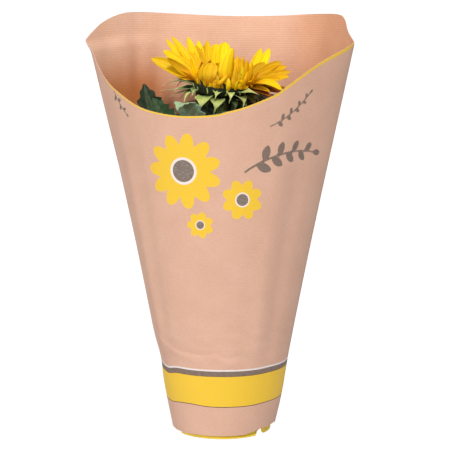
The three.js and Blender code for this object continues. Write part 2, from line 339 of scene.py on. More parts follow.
class Graph:
    """A material and its nodes. A method adds a node and returns its output, so that calls can be nested."""

    def __init__(self, name: str) -> None:
        """Starts a material of that name.

        Args:
            name: the material's name.
        """
        self.material = bpy.data.materials.new(name)
        self.material.use_nodes = True
        self.tree = self.material.node_tree
        self.shader = self.tree.nodes["Principled BSDF"]

    def fill(self, node: bpy.types.Node, inputs: dict[Any, Any]) -> None:
        """Links sockets to a node's inputs, by name or number, and sets the values of the others.

        Args:
            node: the node.
            inputs: a socket or a value for each input to set.
        """
        for name, value in inputs.items():
            if isinstance(value, Socket):
                self.tree.links.new(value, node.inputs[name])
            else:
                node.inputs[name].default_value = value

    def put(self, kind: str, settings: dict[str, Any], inputs: dict[Any, Any]) -> bpy.types.Node:
        """Adds one node.

        Args:
            kind: its type, without the ShaderNode prefix.
            settings: its properties by name.
            inputs: values or sockets for its inputs, by name or number.

        Returns:
            The new node.
        """
        node = self.tree.nodes.new("ShaderNode" + kind)
        for name, value in settings.items():
            setattr(node, name, value)
        self.fill(node, inputs)
        return node

    def uv(self, name: str) -> Socket:
        """The coordinates of a UV map."""
        return self.put("UVMap", {"uv_map": name}, {}).outputs["UV"]

    def place(self) -> Socket:
        """The object's own coordinates, in metres."""
        return self.put("TexCoord", {}, {}).outputs["Object"]

    def mark(self, name: str) -> Socket:
        """One of the mesh's attributes."""
        return self.put("Attribute", {"attribute_name": name}, {}).outputs["Fac"]

    def stretched(self, vector: Socket, scale: tuple[float, float, float]) -> Socket:
        """Coordinates times a scale on each axis."""
        return self.put("Mapping", {}, {"Vector": vector, "Scale": scale}).outputs[0]

    def noise(self, vector: Socket, size: float, detail: float, roughness: float = 0.5) -> Socket:
        """Cloudy noise whose cells measure size millimetres."""
        inputs = {"Vector": vector, "Scale": per(size), "Detail": detail, "Roughness": roughness}
        return self.put("TexNoise", {}, inputs).outputs["Fac"]

    def math(self, operation: str, *values: Any) -> Socket:
        """Arithmetic on one to three values or sockets."""
        return self.put("Math", {"operation": operation}, dict(enumerate(values))).outputs[0]

    def blend(self, x: Socket, share: float, y: Socket) -> Socket:
        """A share of x, added to y."""
        return self.math("MULTIPLY_ADD", x, share, y)

    def remap(self, x: Socket, low: float, high: float, start: float = 0.0, end: float = 1.0,
              kind: str = "LINEAR") -> Socket:
        """Carries low to high over to start to end, and holds at either end."""
        inputs = dict(enumerate((x, low, high, start, end)))
        return self.put("MapRange", {"interpolation_type": kind}, inputs).outputs[0]

    def mix(self, share: Socket, first: Any, second: Any, kind: str = "MIX") -> Socket:
        """Mixes two colours, each one a socket or a hex code.

        Args:
            share: how much of the second.
            first: one colour.
            second: the other.
            kind: blend type.

        Returns:
            The mixed colour.
        """
        first, second = (linear(c) if isinstance(c, str) else c for c in (first, second))
        settings = {"data_type": "RGBA", "blend_type": kind}
        return self.put("Mix", settings, {0: share, 6: first, 7: second}).outputs[2]

    def steps(self, x: Socket, stops: Sequence[tuple[float, Colour]]) -> tuple[Socket, Socket]:
        """A ramp of flat colours.

        Args:
            x: the place on it, from 0 to 1.
            stops: where each colour starts, and the colour.

        Returns:
            Its colour and its alpha.
        """
        node = self.put("ValToRGB", {}, {0: x})
        node.color_ramp.interpolation = "CONSTANT"
        ramp = node.color_ramp.elements
        while len(ramp) < len(stops):
            ramp.new(1.0)
        for stop, (position, colour) in zip(ramp, stops):
            stop.position, stop.color = position, colour
        return node.outputs["Color"], node.outputs["Alpha"]


def per(size: float) -> float:
    """Texture scale, in cells a metre, for a pattern whose cells measure size millimetres."""
    return 1 / (size * MM)


@dataclass(frozen=True)
class Finish:
    """What every finish shares: its name and the values that are the same all over."""

    name: str
    roughness: float = 0.6
    specular: float = 0.5
    sheen: float = 0.0
    subsurface: float = 0.0
    glow: tuple[float, float, float] = (1.0, 0.6, 0.2)  # how far red, green and blue light spreads inside
    depth: float = 1.5  # mm, what that is a share of

    def begin(self) -> Graph:
        """Starts the material, with its even values.

        Returns:
            The graph that the finish goes on with.
        """
        graph = Graph(self.name)
        graph.fill(graph.shader, {
            "Roughness": self.roughness, "Specular IOR Level": self.specular, "Sheen Weight": self.sheen,
            "Subsurface Weight": self.subsurface, "Subsurface Radius": self.glow,
            "Subsurface Scale": self.depth * MM})
        return graph

    def dress(self, graph: Graph, colour: Socket, relief: Socket, deep: float, grain: Socket, wear: float,
              strength: float = 1.0) -> bpy.types.Material:
        """Gives the material its colour, its relief and its uneven gloss.

        Args:
            graph: its nodes.
            colour: its colour.
            relief: the pattern that stands out.
            deep: how far it does, in millimetres.
            grain: the pattern that the roughness follows.
            wear: how far the roughness goes up and down.
            strength: strength of the relief.

        Returns:
            The material.
        """
        bump = graph.put("Bump", {}, {"Strength": strength, "Distance": deep * MM, "Height": relief})
        rough = graph.remap(grain, 0.3, 0.7, self.roughness - wear, self.roughness + wear)
        graph.fill(graph.shader, {"Base Color": colour, "Normal": bump.outputs[0], "Roughness": rough})
        return graph.material


@dataclass(frozen=True)
class PrintBand:
    """One printed band round the sleeve, by the heights between which it runs, in millimetres."""

    low: float
    high: float
    ink: str


@dataclass(frozen=True)
class RibbedKraft(Finish):
    """Ribbed kraft paper: brown fibres, and fine ribs across the sheet from the roller it was pressed on.

    The eye sees a warm tan with cloudy fibre, thin level lines and a dull face.
    """

    light: str = "e6bc9f"
    dark: str = "d2a183"
    cloud: float = 30.0  # mm, size of the clouds in the pulp
    fibre: float = 4.0  # mm, size of the fibres
    drawn: float = 4.0  # how many times longer they are across the sheet
    rib: float = 2.2  # mm from rib to rib
    rib_shade: float = 0.35
    rib_depth: float = 0.05
    bands: tuple[PrintBand, ...] = ()
    border: float = 0.0  # width of the printed border along the rim, mm
    damp: str = ""  # painted shade: what its colour is multiplied by where shade falls on the sleeve's inner face

    def make(self, inks: "Inks | None" = None) -> bpy.types.Material:
        """Makes the material.

        Args:
            inks: the inks of the print, where this face is printed.

        Returns:
            The material.
        """
        graph = self.begin()
        sheet = graph.uv(PAPER_MAP)
        clouds = graph.noise(sheet, self.cloud, 5.0, 0.6)
        fibre = graph.noise(graph.stretched(sheet, (1.0, self.drawn, 1.0)), self.fibre, 4.0)
        pitch = per(self.rib) * math.pi / 10  # the wave texture's period is 2 pi / 20 of a cell
        wave = {"Vector": sheet, "Scale": pitch, "Distortion": 0.3, "Detail Scale": 0.2}
        ribs = graph.put("TexWave", {"bands_direction": "Y"}, wave).outputs["Fac"]
        tone = graph.blend(clouds, 0.9, graph.blend(ribs, self.rib_shade, fibre))
        base = graph.mix(graph.remap(tone, 0.65, 1.35 + self.rib_shade), self.dark, self.light)
        # painted shade, multiplied in by the panel's mask
        if self.damp:
            base = graph.mix(graph.mark("damp"), base, self.damp, "MULTIPLY")
        if inks is not None:
            base = inks.over(graph, base, sheet, fibre, self)
        return self.dress(graph, base, graph.blend(fibre, 0.5, ribs), self.rib_depth, fibre, 0.08)


@dataclass(frozen=True)
class Inks:
    """Water-based flexographic inks: flat and thin, so that fibre and ribs show through them."""

    yellow: str = "f2c41c"
    white: str = "efe2dd"
    taupe: str = "756459"
    umber: str = "6d4c2c"
    edge: float = 0.2  # mm, how far an edge is blurred to either side

    def over(self, graph: Graph, paper: Socket, sheet: Socket, fibre: Socket, kraft: RibbedKraft) -> Socket:
        """Prints the bands, the motifs and the rim's border over the paper's colour.

        Args:
            graph: the material's nodes.
            paper: the paper's colour.
            sheet: its coordinate, arc across and height in metres.
            fibre: its fibre pattern.
            kraft: the finish, which says where the bands and the border run.

        Returns:
            The printed colour.
        """
        top = kraft.bands[-1].high
        span = top + 1
        bare = (0.0, 0.0, 0.0, 0.0)
        stops = [(0.0, bare), *((band.low / span, linear(getattr(self, band.ink))) for band in kraft.bands),
                 (top / span, bare)]
        height = graph.put("SeparateXYZ", {}, {0: sheet}).outputs[1]
        layers = [graph.steps(graph.math("DIVIDE", height, span * MM), stops)]
        for ink in ("yellow", "white", "taupe"):
            layers.append((getattr(self, ink), graph.remap(graph.mark(ink), -self.edge, self.edge)))
        rim = graph.remap(graph.mark("rim"), kraft.border + self.edge, kraft.border - self.edge)
        wear = graph.remap(fibre, 0.25, 0.6, 0.8, 1.0)
        for colour, cover in (*layers, (self.yellow, rim)):
            paper = graph.mix(graph.math("MULTIPLY", cover, wear), paper, colour)
        return paper


@dataclass(frozen=True)
class BladeFinish(Finish):
    """Living tissue of a leaf, petal or bract: one colour at its foot, one at its tip, and veins along it.

    The eye sees a colour that shifts from foot to tip, fine lines along the blade, and light through it.
    """

    foot: str = "e08a10"
    tip: str = "f8cf1c"
    vein: str = "c98a10"
    turn: float = 0.35  # where along the blade the foot's colour has gone
    veins: float = 5.0  # lines across half the blade
    vein_share: float = 0.3
    spread: float = 0.12  # how much one blade is lighter or darker than another
    grain: float = 2.0  # mm
    relief: float = 0.25  # mm, height of the tissue between the veins

    def make(self) -> bpy.types.Material:
        """Makes the material.

        Returns:
            The material.
        """
        graph = self.begin()
        across, along = graph.put("SeparateXYZ", {}, {0: graph.uv(BLADE_MAP)}).outputs[:2]
        grain = graph.noise(graph.place(), self.grain, 3.0)
        shift = graph.remap(graph.blend(grain, 0.25, along), 0.1, self.turn + 0.15, kind="SMOOTHSTEP")
        lines = graph.math("COSINE", graph.math("MULTIPLY", across, self.veins * math.pi))
        thin = graph.remap(lines, 0.3, 1.0, 0.0, self.vein_share)
        veined = graph.mix(thin, graph.mix(shift, self.foot, self.tip), self.vein)
        blotch = graph.blend(grain, 0.5, graph.mark(TONE))
        value = graph.remap(blotch, 0.25, 1.25, 1 - self.spread, 1 + self.spread)
        shaded = graph.put("HueSaturation", {}, {"Color": veined, "Value": value}).outputs[0]
        return self.dress(graph, shaded, graph.math("SUBTRACT", grain, thin), self.relief, grain, 0.1, 0.6)


@dataclass(frozen=True)
class Mottled(Finish):
    """A rough natural or moulded surface of two colours in a grain of a stated size, for peat, stem and pot.

    The eye sees a base colour, darker specks or streaks, and a relief of the same grain.
    """

    light: str = "6b4a33"
    dark: str = "2b1c12"
    grain: float = 2.0
    stretch: tuple[float, float, float] = (1.0, 1.0, 1.0)
    relief: float = 0.4  # mm
    contrast: float = 0.5
    clouds: float = 12.0  # size of its clouds, in grains

    def make(self) -> bpy.types.Material:
        """Makes the material.

        Returns:
            The material.
        """
        graph = self.begin()
        place = graph.stretched(graph.place(), self.stretch)
        grain = graph.noise(place, self.grain, 4.0)
        both = graph.math("ADD", grain, graph.noise(place, self.clouds * self.grain, 2.0))
        share = graph.remap(both, 1 - self.contrast / 2, 1 + self.contrast / 2)
        return self.dress(graph, graph.mix(share, self.dark, self.light), grain, self.relief, grain, 0.07)


# ---- Sleeve ----


class Side(Enum):
    """The sleeve's two panels, by the sign of their y."""

    FRONT = -1
    BACK = 1


@dataclass(frozen=True)
class Panel:
    """A panel's section and how its relief is held.

    A flat above 2 makes the section squarer in the middle, and a corner near 1 makes it sharper at the
    seams. The relief dies out towards the seams as 1 - |u|^held.
    """

    side: Side
    flat: float
    corner: float
    held: int


@dataclass(frozen=True)
class Bell:
    """A soft rise, or a dip where its height is below 0."""

    height: float
    centre: float
    width: float

    def at(self, x: Array) -> Array:
        """Its value at x."""
        return self.height * bump_at(x, self.centre, self.width)


@dataclass(frozen=True)
class Motifs:
    """The print on the front: invented round flowers and leafy sprigs, as signed distances to their edges.

    Places are (arc from the middle, height) on the sheet, in millimetres. A value is above 0 inside the ink.
    """

    blossoms: tuple[tuple[float, float, float, int], ...] = (
        (-30.0, 268.0, 37.0, 11), (27.0, 241.0, 20.0, 8), (-14.0, 216.0, 13.0, 7))  # x, z, radius, petals
    sprigs: tuple[tuple[float, ...], ...] = (
        (30.0, 268.0, 66.0, 292.0, 112.0, 281.0, 9, 17.0), (56.0, 311.0, 84.0, 320.0, 106.0, 340.0, 9, 8.0),
        (-120.0, 337.0, -112.0, 326.0, -99.0, 317.0, 5, 7.0))  # start, bend and end, leaves, their length
    clear: float = -9.0  # the distance given to what lies off a leaf or round a blossom
    stalk: float = 1.0  # half its width
    leaf_turn: float = 0.85  # angle of a leaf from the stalk, radians
    leaf_wide: float = 0.26  # half a leaf's width, as a share of its length
    taper: float = 0.35  # how much shorter the last leaf is
    petal_middle: float = 0.66  # shares of a blossom's radius
    heart: float = 0.5
    gap: float = 1.06
    ring: float = 0.36
    eye: float = 0.29

    def drawn(self, x: Array, z: Array) -> dict[str, Array]:
        """Works out the signed distances of the yellow, white and taupe inks.

        A petal is an ellipse on the nearest of the blossom's equal headings, an eye is a disc with a white
        ring, a sprig's stalk is a quadratic curve's band, and its leaves are sine arches to either hand.

        Args:
            x: arc from the panel's middle.
            z: height.

        Returns:
            The distances by ink.
        """
        yellow = np.full(x.shape, -NO_INK)
        white, taupe = yellow.copy(), yellow.copy()
        for x0, z0, x1, z1, x2, z2, count, length in self.sprigs:
            t = np.linspace(0, 1, 80)
            line = np.stack([(1 - t) ** 2 * p + 2 * t * (1 - t) * q + t * t * r
                             for p, q, r in ((x0, x1, x2), (z0, z1, z2))], -1)
            near = np.min(np.hypot(x[..., None] - line[:, 0], z[..., None] - line[:, 1]), axis=-1)
            taupe = np.maximum(taupe, self.stalk * (0.4 + 0.04 * length) - near)
            for n in range(count):
                at = int(lerp(12, 78, n / (count - 1)))
                size = length * (1 - self.taper * n / count)
                onward = math.atan2(*(line[at] - line[at - 2])[::-1])
                onward += self.leaf_turn * (1 if n % 2 else -1) * (n < count - 1)
                c, s = math.cos(onward), math.sin(onward)
                along = (x - line[at, 0]) * c + (z - line[at, 1]) * s
                aside = (z - line[at, 1]) * c - (x - line[at, 0]) * s
                arch = self.leaf_wide * size * np.sin(np.pi * np.clip(along / size, 0, 1)) ** 0.8
                within = (along > 0) & (along < size)
                taupe = np.maximum(taupe, np.where(within, arch - np.abs(aside), self.clear))
        for x0, z0, radius, petals in self.blossoms:
            out, heading = np.hypot(x - x0, z - z0), np.arctan2(z - z0, x - x0)
            pitch = 2 * math.pi / petals
            off = (heading / pitch % 1 - 0.5) * pitch
            middle = self.petal_middle * radius
            wide = middle * math.sin(pitch / 2) * 1.02
            oval = np.hypot((out * np.cos(off) - middle) / (radius - middle), out * np.sin(off) / wide)
            yellow = np.maximum(yellow, np.maximum((1 - oval) * wide, self.heart * radius - out))
            taupe = np.where(out < radius * self.gap, self.clear, taupe)
            white = np.maximum(white, self.ring * radius - out)
            taupe = np.maximum(taupe, self.eye * radius - out)
        return {"yellow": yellow, "white": white, "taupe": taupe}


@dataclass
class Sleeve:
    """The tapered paper sleeve: a front panel cut away in a bowl and a tall back panel, glued at the sides.

    Lengths are in millimetres, z is a height, and u the place across, from -1 at the left seam to 1.
    """

    low: float = 3.6  # height of the lower edge in the middle
    low_rise: float = 1.5  # how much higher it is at the seams
    foot_lift: float = 3.2  # it is drawn up on the right
    foot_drop: float = 1.4  # and down on the left
    corner: float = 382.0  # height of the seams
    paper: float = 0.35  # drawn about twice as thick as the real sheet, so that its edge shows
    seat: float = 0.15  # half the gap between the panels at a seam
    width_foot: float = 49.4  # half width at the foot
    width_slope: float = 0.2012
    depths: Points = ((0, 48), (105, 61.2), (380, 88))  # height, half depth
    round_below: float = 70.0  # the section is an ellipse up to here
    flares: tuple[float, float] = (3.2, 0.9)  # extra half width at the mouth on the left and the right
    flare_from: float = 260.0
    ear: float = 3.2  # how far the left corner stands out at its very top
    ear_height: float = 13.0
    left_sides: tuple[Bell, ...] = (Bell(-1.6, 165, 110), Bell(-1.9, 72, 17))  # the waist, and a dent
    right_sides: tuple[Bell, ...] = (Bell(-1.2, 165, 110), Bell(1.3, 35, 28))  # the waist, and a swell
    left_in: float = 0.5  # how much narrower the left is all the way up
    front: Panel = Panel(Side.FRONT, 2.4, 1.08, 24)
    back: Panel = Panel(Side.BACK, 4.0, 1.1, 10)
    rim: Points = (
        (-1, 382), (-0.965, 358.5), (-0.9, 345.5), (-0.8, 336.8), (-0.6, 325.6), (-0.3, 321.2), (0, 322.8),
        (0.12, 326), (0.25, 330), (0.38, 335.6), (0.5, 341.6), (0.54, 345.2),
        (0.665, 357), (0.787, 368.4), (0.904, 377.8), (0.97, 382), (1, 383))
    crown: Points = (
        (-1, 382), (-0.965, 387.2), (-0.89, 395), (-0.8, 400.2), (-0.7, 401.4), (-0.45, 398.8),
        (-0.15, 396.7), (0.1, 396.2), (0.4, 397.4), (0.66, 400.8), (0.82, 403), (0.88, 400.5), (0.935, 389),
        (1, 382))
    swag: Points = (
        (-1, 112), (-0.8, 97), (-0.65, 90), (-0.5, 87), (-0.2, 86.5), (0.0, 88), (0.14, 83), (0.3, 85),
        (0.58, 99), (1, 114))
    crease: tuple[Bell, ...] = (Bell(0.5, -6.0, 5.0), Bell(-0.6, 0.0, 2.4))  # the swag's ridge and valley
    side_folds: tuple[Bell, ...] = (
        Bell(1.1, -0.85, 0.05), Bell(-0.6, -0.73, 0.06), Bell(1.5, 0.57, 0.1), Bell(-1.2, 0.76, 0.08))
    shoulder: Bell = Bell(5.0, 1.0, 0.17)  # the front's upper right stands out
    wrinkles: Bell = Bell(0.16, 96, 26)  # fine wrinkles round the pot's rim
    slack: tuple[tuple[float, float, float], ...] = ((0.9, 83, 0.6), (0.5, 47, 2.0))  # height, length, phase
    pleats: tuple[Bell, Bell] = (Bell(1.0, -0.62, 0.22), Bell(1.0, 342, 36))  # the back's, across and up
    pleat_pitch: float = 26.0
    pleat_shift: float = 79.0
    uneven: float = 0.35  # height of the slight unevenness all over
    rib_rise: float = 7.0  # the back's ribs rise to the sides with its edge
    sags: tuple[tuple[float, ...], ...] = (  # the print's shift at the foot and above it, and where
        (1.2, 3.2, -0.85, 0.13), (-1.5, 0.2, -0.5, 0.27), (-0.6, -0.4, 0.76, 0.22))
    right_sag: tuple[float, float] = (-1.4, -0.6)  # and at the right seam
    bands: tuple[PrintBand, ...] = (
        PrintBand(32.9, 34.0, "umber"), PrintBand(34.0, 64.5, "yellow"), PrintBand(64.5, 65.2, "umber"),
        PrintBand(65.2, 69.9, "taupe"), PrintBand(69.9, 71.6, "white"))
    columns: int = 190
    rows: int = 230
    seam_width: float = 9.0
    motifs: Motifs = field(default_factory=Motifs)

    def half_width(self, z: Array, u: Array) -> Array:
        """Half width at height z on the side of u: it grows evenly, but for a flare, an ear and dents.

        Args:
            z: height.
            u: place across, from -1 to 1.

        Returns:
            The half width.
        """
        flare = np.clip((z - self.flare_from) / (self.corner - self.flare_from), 0, None)
        left = self.flares[0] * flare - self.left_in + sum(bell.at(z) for bell in self.left_sides)
        left = left + self.ear * ease(z, self.corner - self.ear_height, self.corner)
        right = self.flares[1] * flare + sum(bell.at(z) for bell in self.right_sides)
        return self.width_foot + self.width_slope * z + np.where(u < 0, left, right)

    def surface(self, panel: Panel, u: Array, z: Array, inset: float) -> Array:
        """Points of a panel at u across (-1 to 1) and height z, inset inside the outer face.

        The section is y = depth (1 - |u|^flat)^(1/corner), an ellipse at the foot and squarer above it.

        Args:
            panel: front or back.
            u: place across, from -1 to 1.
            z: height.
            inset: depth inside the outer face.

        Returns:
            The points.
        """
        grown = ease(z, self.round_below, self.corner)
        flat, corner = lerp(2, panel.flat, grown), lerp(2, panel.corner, grown)
        bulge = np.clip(1 - np.abs(u) ** flat, 0, None) ** (1 / corner)
        depth = parabola(z, self.depths) - inset - self.seat
        x = (self.half_width(z, u) - inset) * u
        return np.stack(np.broadcast_arrays(x, panel.side.value * (self.seat + depth * bulge), z), -1)

    def top(self, panel: Panel, u: Array) -> Array:
        """Height of a panel's upper edge at u, a spline through the panel's points."""
        line = spline(self.rim if panel.side is Side.FRONT else self.crown, 300)
        return np.interp(u, line[:, 0], line[:, 1])

    def relief(self, panel: Panel, u: Array, arc: Array, z: Array) -> Array:
        """How far the paper stands out from its smooth form.

        Args:
            panel: front or back.
            u: place across.
            arc: length across.
            z: height.

        Returns:
            The relief, outwards.
        """
        rng = np.random.default_rng(SEED + panel.side.value)
        form = self.back_folds if panel.side is Side.BACK else self.front_folds
        return (1 - np.abs(u) ** panel.held) * form(u, arc, z, rng)

    def back_folds(self, u: Array, arc: Array, z: Array, rng: np.random.Generator) -> Array:
        """The back's slack waves, which grow towards the mouth, and the folds at its upper left.

        Args:
            u: place across.
            arc: length across.
            z: height.
            rng: seeded source of the ripple.

        Returns:
            The relief, outwards.
        """
        waves = sum(high * np.sin(2 * math.pi * arc / length + phase) for high, length, phase in self.slack)
        across, up = self.pleats
        folds = across.at(u) * up.at(z) * np.sin(2 * math.pi * (arc + self.pleat_shift) / self.pleat_pitch)
        return ease(z, 120, 330) * waves + folds + self.uneven * ripple(arc, z, 90, rng)

    def front_folds(self, u: Array, arc: Array, z: Array, rng: np.random.Generator) -> Array:
        """The front's soft creases.

        A swag hangs under the pot's rim, as a valley with a ridge below it. Folds run down each side, the
        upper right corner stands out, and there are fine wrinkles round the pot's rim.

        Args:
            u: place across.
            arc: length across.
            z: height.
            rng: seeded source of the ripples.

        Returns:
            The relief, outwards.
        """
        line = spline(self.swag, 200)
        swag = np.interp(u, line[:, 0], line[:, 1])
        fade = 0.65 + 0.35 * ripple(arc, z, 45, rng)
        fade = fade * lerp(0.4, 1.1, bump_at(u, -0.15, 0.3)) * (1 - 0.6 * ease(u, 0.2, 0.4))
        creases = sum(bell.at(z - swag) for bell in self.crease) * fade
        sides = sum(fold.at(u) for fold in self.side_folds) * ease(z, 60, 110) * (1 - ease(z, 250, 340))
        sides = sides + self.shoulder.at(u) * ease(z, 290, 372)
        fine = self.wrinkles.at(z) * ripple(arc, 2.2 * z, 30, rng)
        return creases + sides + fine + self.uneven * ripple(arc, z, 120, rng)

    def below_rim(self, u: Array, z: Array, top: Array, x: Array) -> Array:
        """How far below the front's rim a point lies, square to the rim, for the printed border.

        Args:
            u: places across.
            z: heights.
            top: the rim's height in each column.
            x: its x in each column.

        Returns:
            The distance, less to the right, where the border is wider, and more in the left corner.
        """
        square = (top - z) / np.hypot(1, np.gradient(top[0], x))
        return square / (1 + 0.5 * (ease(u, 0.3, 0.7) + ease(u, 0.7, 0.95))) + 3 * ease(-u, 0.88, 0.95)

    def print_height(self, u: Array, z: Array) -> Array:
        """The height on the print of each point of the front, as the paper sags between its seams.

        Args:
            u: place across.
            z: height.

        Returns:
            The height on the print.
        """
        upper = ease(z, 35, 62)
        shift = sum(lerp(low, high, upper) * bump_at(u, at, width) for low, high, at, width in self.sags)
        return z + shift + lerp(*self.right_sag, upper) * ease(u, 0.55, 1)

    def panel(self, panel: Panel, name: str, looks: Sequence[bpy.types.Material]) -> None:
        """Builds one panel as a closed thin sheet with its print's distances as attributes.

        Args:
            panel: which panel.
            name: its CAD node, which the piece replaces.
            looks: its outer and inner materials.
        """
        s = np.linspace(-1, 1, self.columns)[None, :]
        u = lerp(s, np.sin(s * math.pi / 2), 0.6)  # the columns lie closer together towards the seams
        lifted = self.foot_lift * ease(u, 0.5, 0.82) - self.foot_drop * ease(-u, 0.3, 0.8)
        foot, top = self.low + self.low_rise * u**2 + lifted, self.top(panel, u)
        z = lerp(foot, top, np.linspace(0, 1, self.rows)[:, None])
        u = np.broadcast_to(u, z.shape)
        base = self.surface(panel, u, z, self.paper / 2)
        steps = np.linalg.norm(np.diff(base, axis=1), axis=-1)
        arc = np.concatenate([np.zeros((self.rows, 1)), np.cumsum(steps, axis=1)], axis=1)
        arc = arc - arc[:, self.columns // 2][:, None]
        normal = unit(np.cross(np.gradient(base, axis=1), np.gradient(base, axis=0))) * -panel.side.value
        middle = base + normal * self.relief(panel, u, arc, z)[..., None]
        if panel.side is Side.BACK:
            middle, u, z, arc = (np.flip(grid, axis=1) for grid in (middle, u, z, arc))
            slot, below = "kraft_paper_back", NO_INK
            printed = z - self.rib_rise * np.abs(u) ** 3.2 * z / self.corner
            # painted shade on the back's inner face: full at the lower left, in the shadow of the flower and
            # the front panel, and half at the right
            damp = ease(-u, 0.3, 0.75) * (1 - ease(z, 322, 376)) + 0.5 * ease(u, 0.3, 0.75)
        else:
            slot, below = "kraft_paper", self.below_rim(u, z, top, middle[-1, :, 0])
            printed = self.print_height(u, z)
            damp = 0.0
        skin = Skin()
        skin.sheet(middle, self.paper, np.stack([arc, printed], -1) * MM, (0, 1), rim=below, damp=damp,
                   **self.motifs.drawn(arc, z))
        skin.made(name + "_paper", looks, slot, name, uv=PAPER_MAP)

    def seam(self, hand: int, look: bpy.types.Material) -> None:
        """Builds the glued lap down one side, a strip of the front sheet carried round onto the back panel.

        Args:
            hand: -1 for the left seam and 1 for the right one.
            look: its material.
        """
        z = np.linspace(self.low + self.low_rise, self.corner - 1.5, 150)[:, None]
        across = np.linspace(0, 1, 9)[None, :]
        trial = np.linspace(1, 0.7, 60)[None, :]
        line = self.surface(self.back, hand * trial, z, -self.paper)
        length = np.cumsum(np.linalg.norm(np.diff(line, axis=1), axis=-1), axis=1)
        reach = trial[0, 1 + np.argmax(length > self.seam_width, axis=1)][:, None]
        u = hand * lerp(1.0, reach, across**1.5)
        middle = self.surface(self.back, u, z, -self.paper * 0.9)
        skin = Skin()
        sheet = np.stack(np.broadcast_arrays(across * self.seam_width, z), -1) * MM
        skin.sheet(middle, self.paper, sheet, rim=NO_INK, yellow=-NO_INK, white=-NO_INK, taupe=-NO_INK)
        skin.made(f"seam_lap_{'left' if hand < 0 else 'right'}", [look], "kraft_paper", uv=PAPER_MAP)

    def build(self) -> None:
        """Builds both panels and both seams."""
        printed = RibbedKraft("ribbed_kraft_paper_printed", 0.72, 0.35, light="e2b59e", dark="d2a389",
                              bands=self.bands, border=1.6, rib_shade=0.12, rib_depth=0.035)
        outside = printed.make(Inks())
        # The inner face is drawn paler than the printed outside: painted light for the brighter light inside
        # the sleeve. Its third colour is painted shade, multiplied in where the back panel's mask marks
        # shade.
        inside = RibbedKraft("ribbed_kraft_paper_inner", 0.82, 0.3, light="f2c6ac", dark="dcaa8b",
                             damp="d3a672").make()
        lap = replace(printed, name="ribbed_kraft_paper_lap", border=-9.0).make(Inks())
        self.panel(self.front, "sleeve_front", [outside, inside])
        self.panel(self.back, "sleeve_back", [outside, inside])
        for hand in (-1, 1):
            self.seam(hand, lap)


# ---- Pot and peat ----


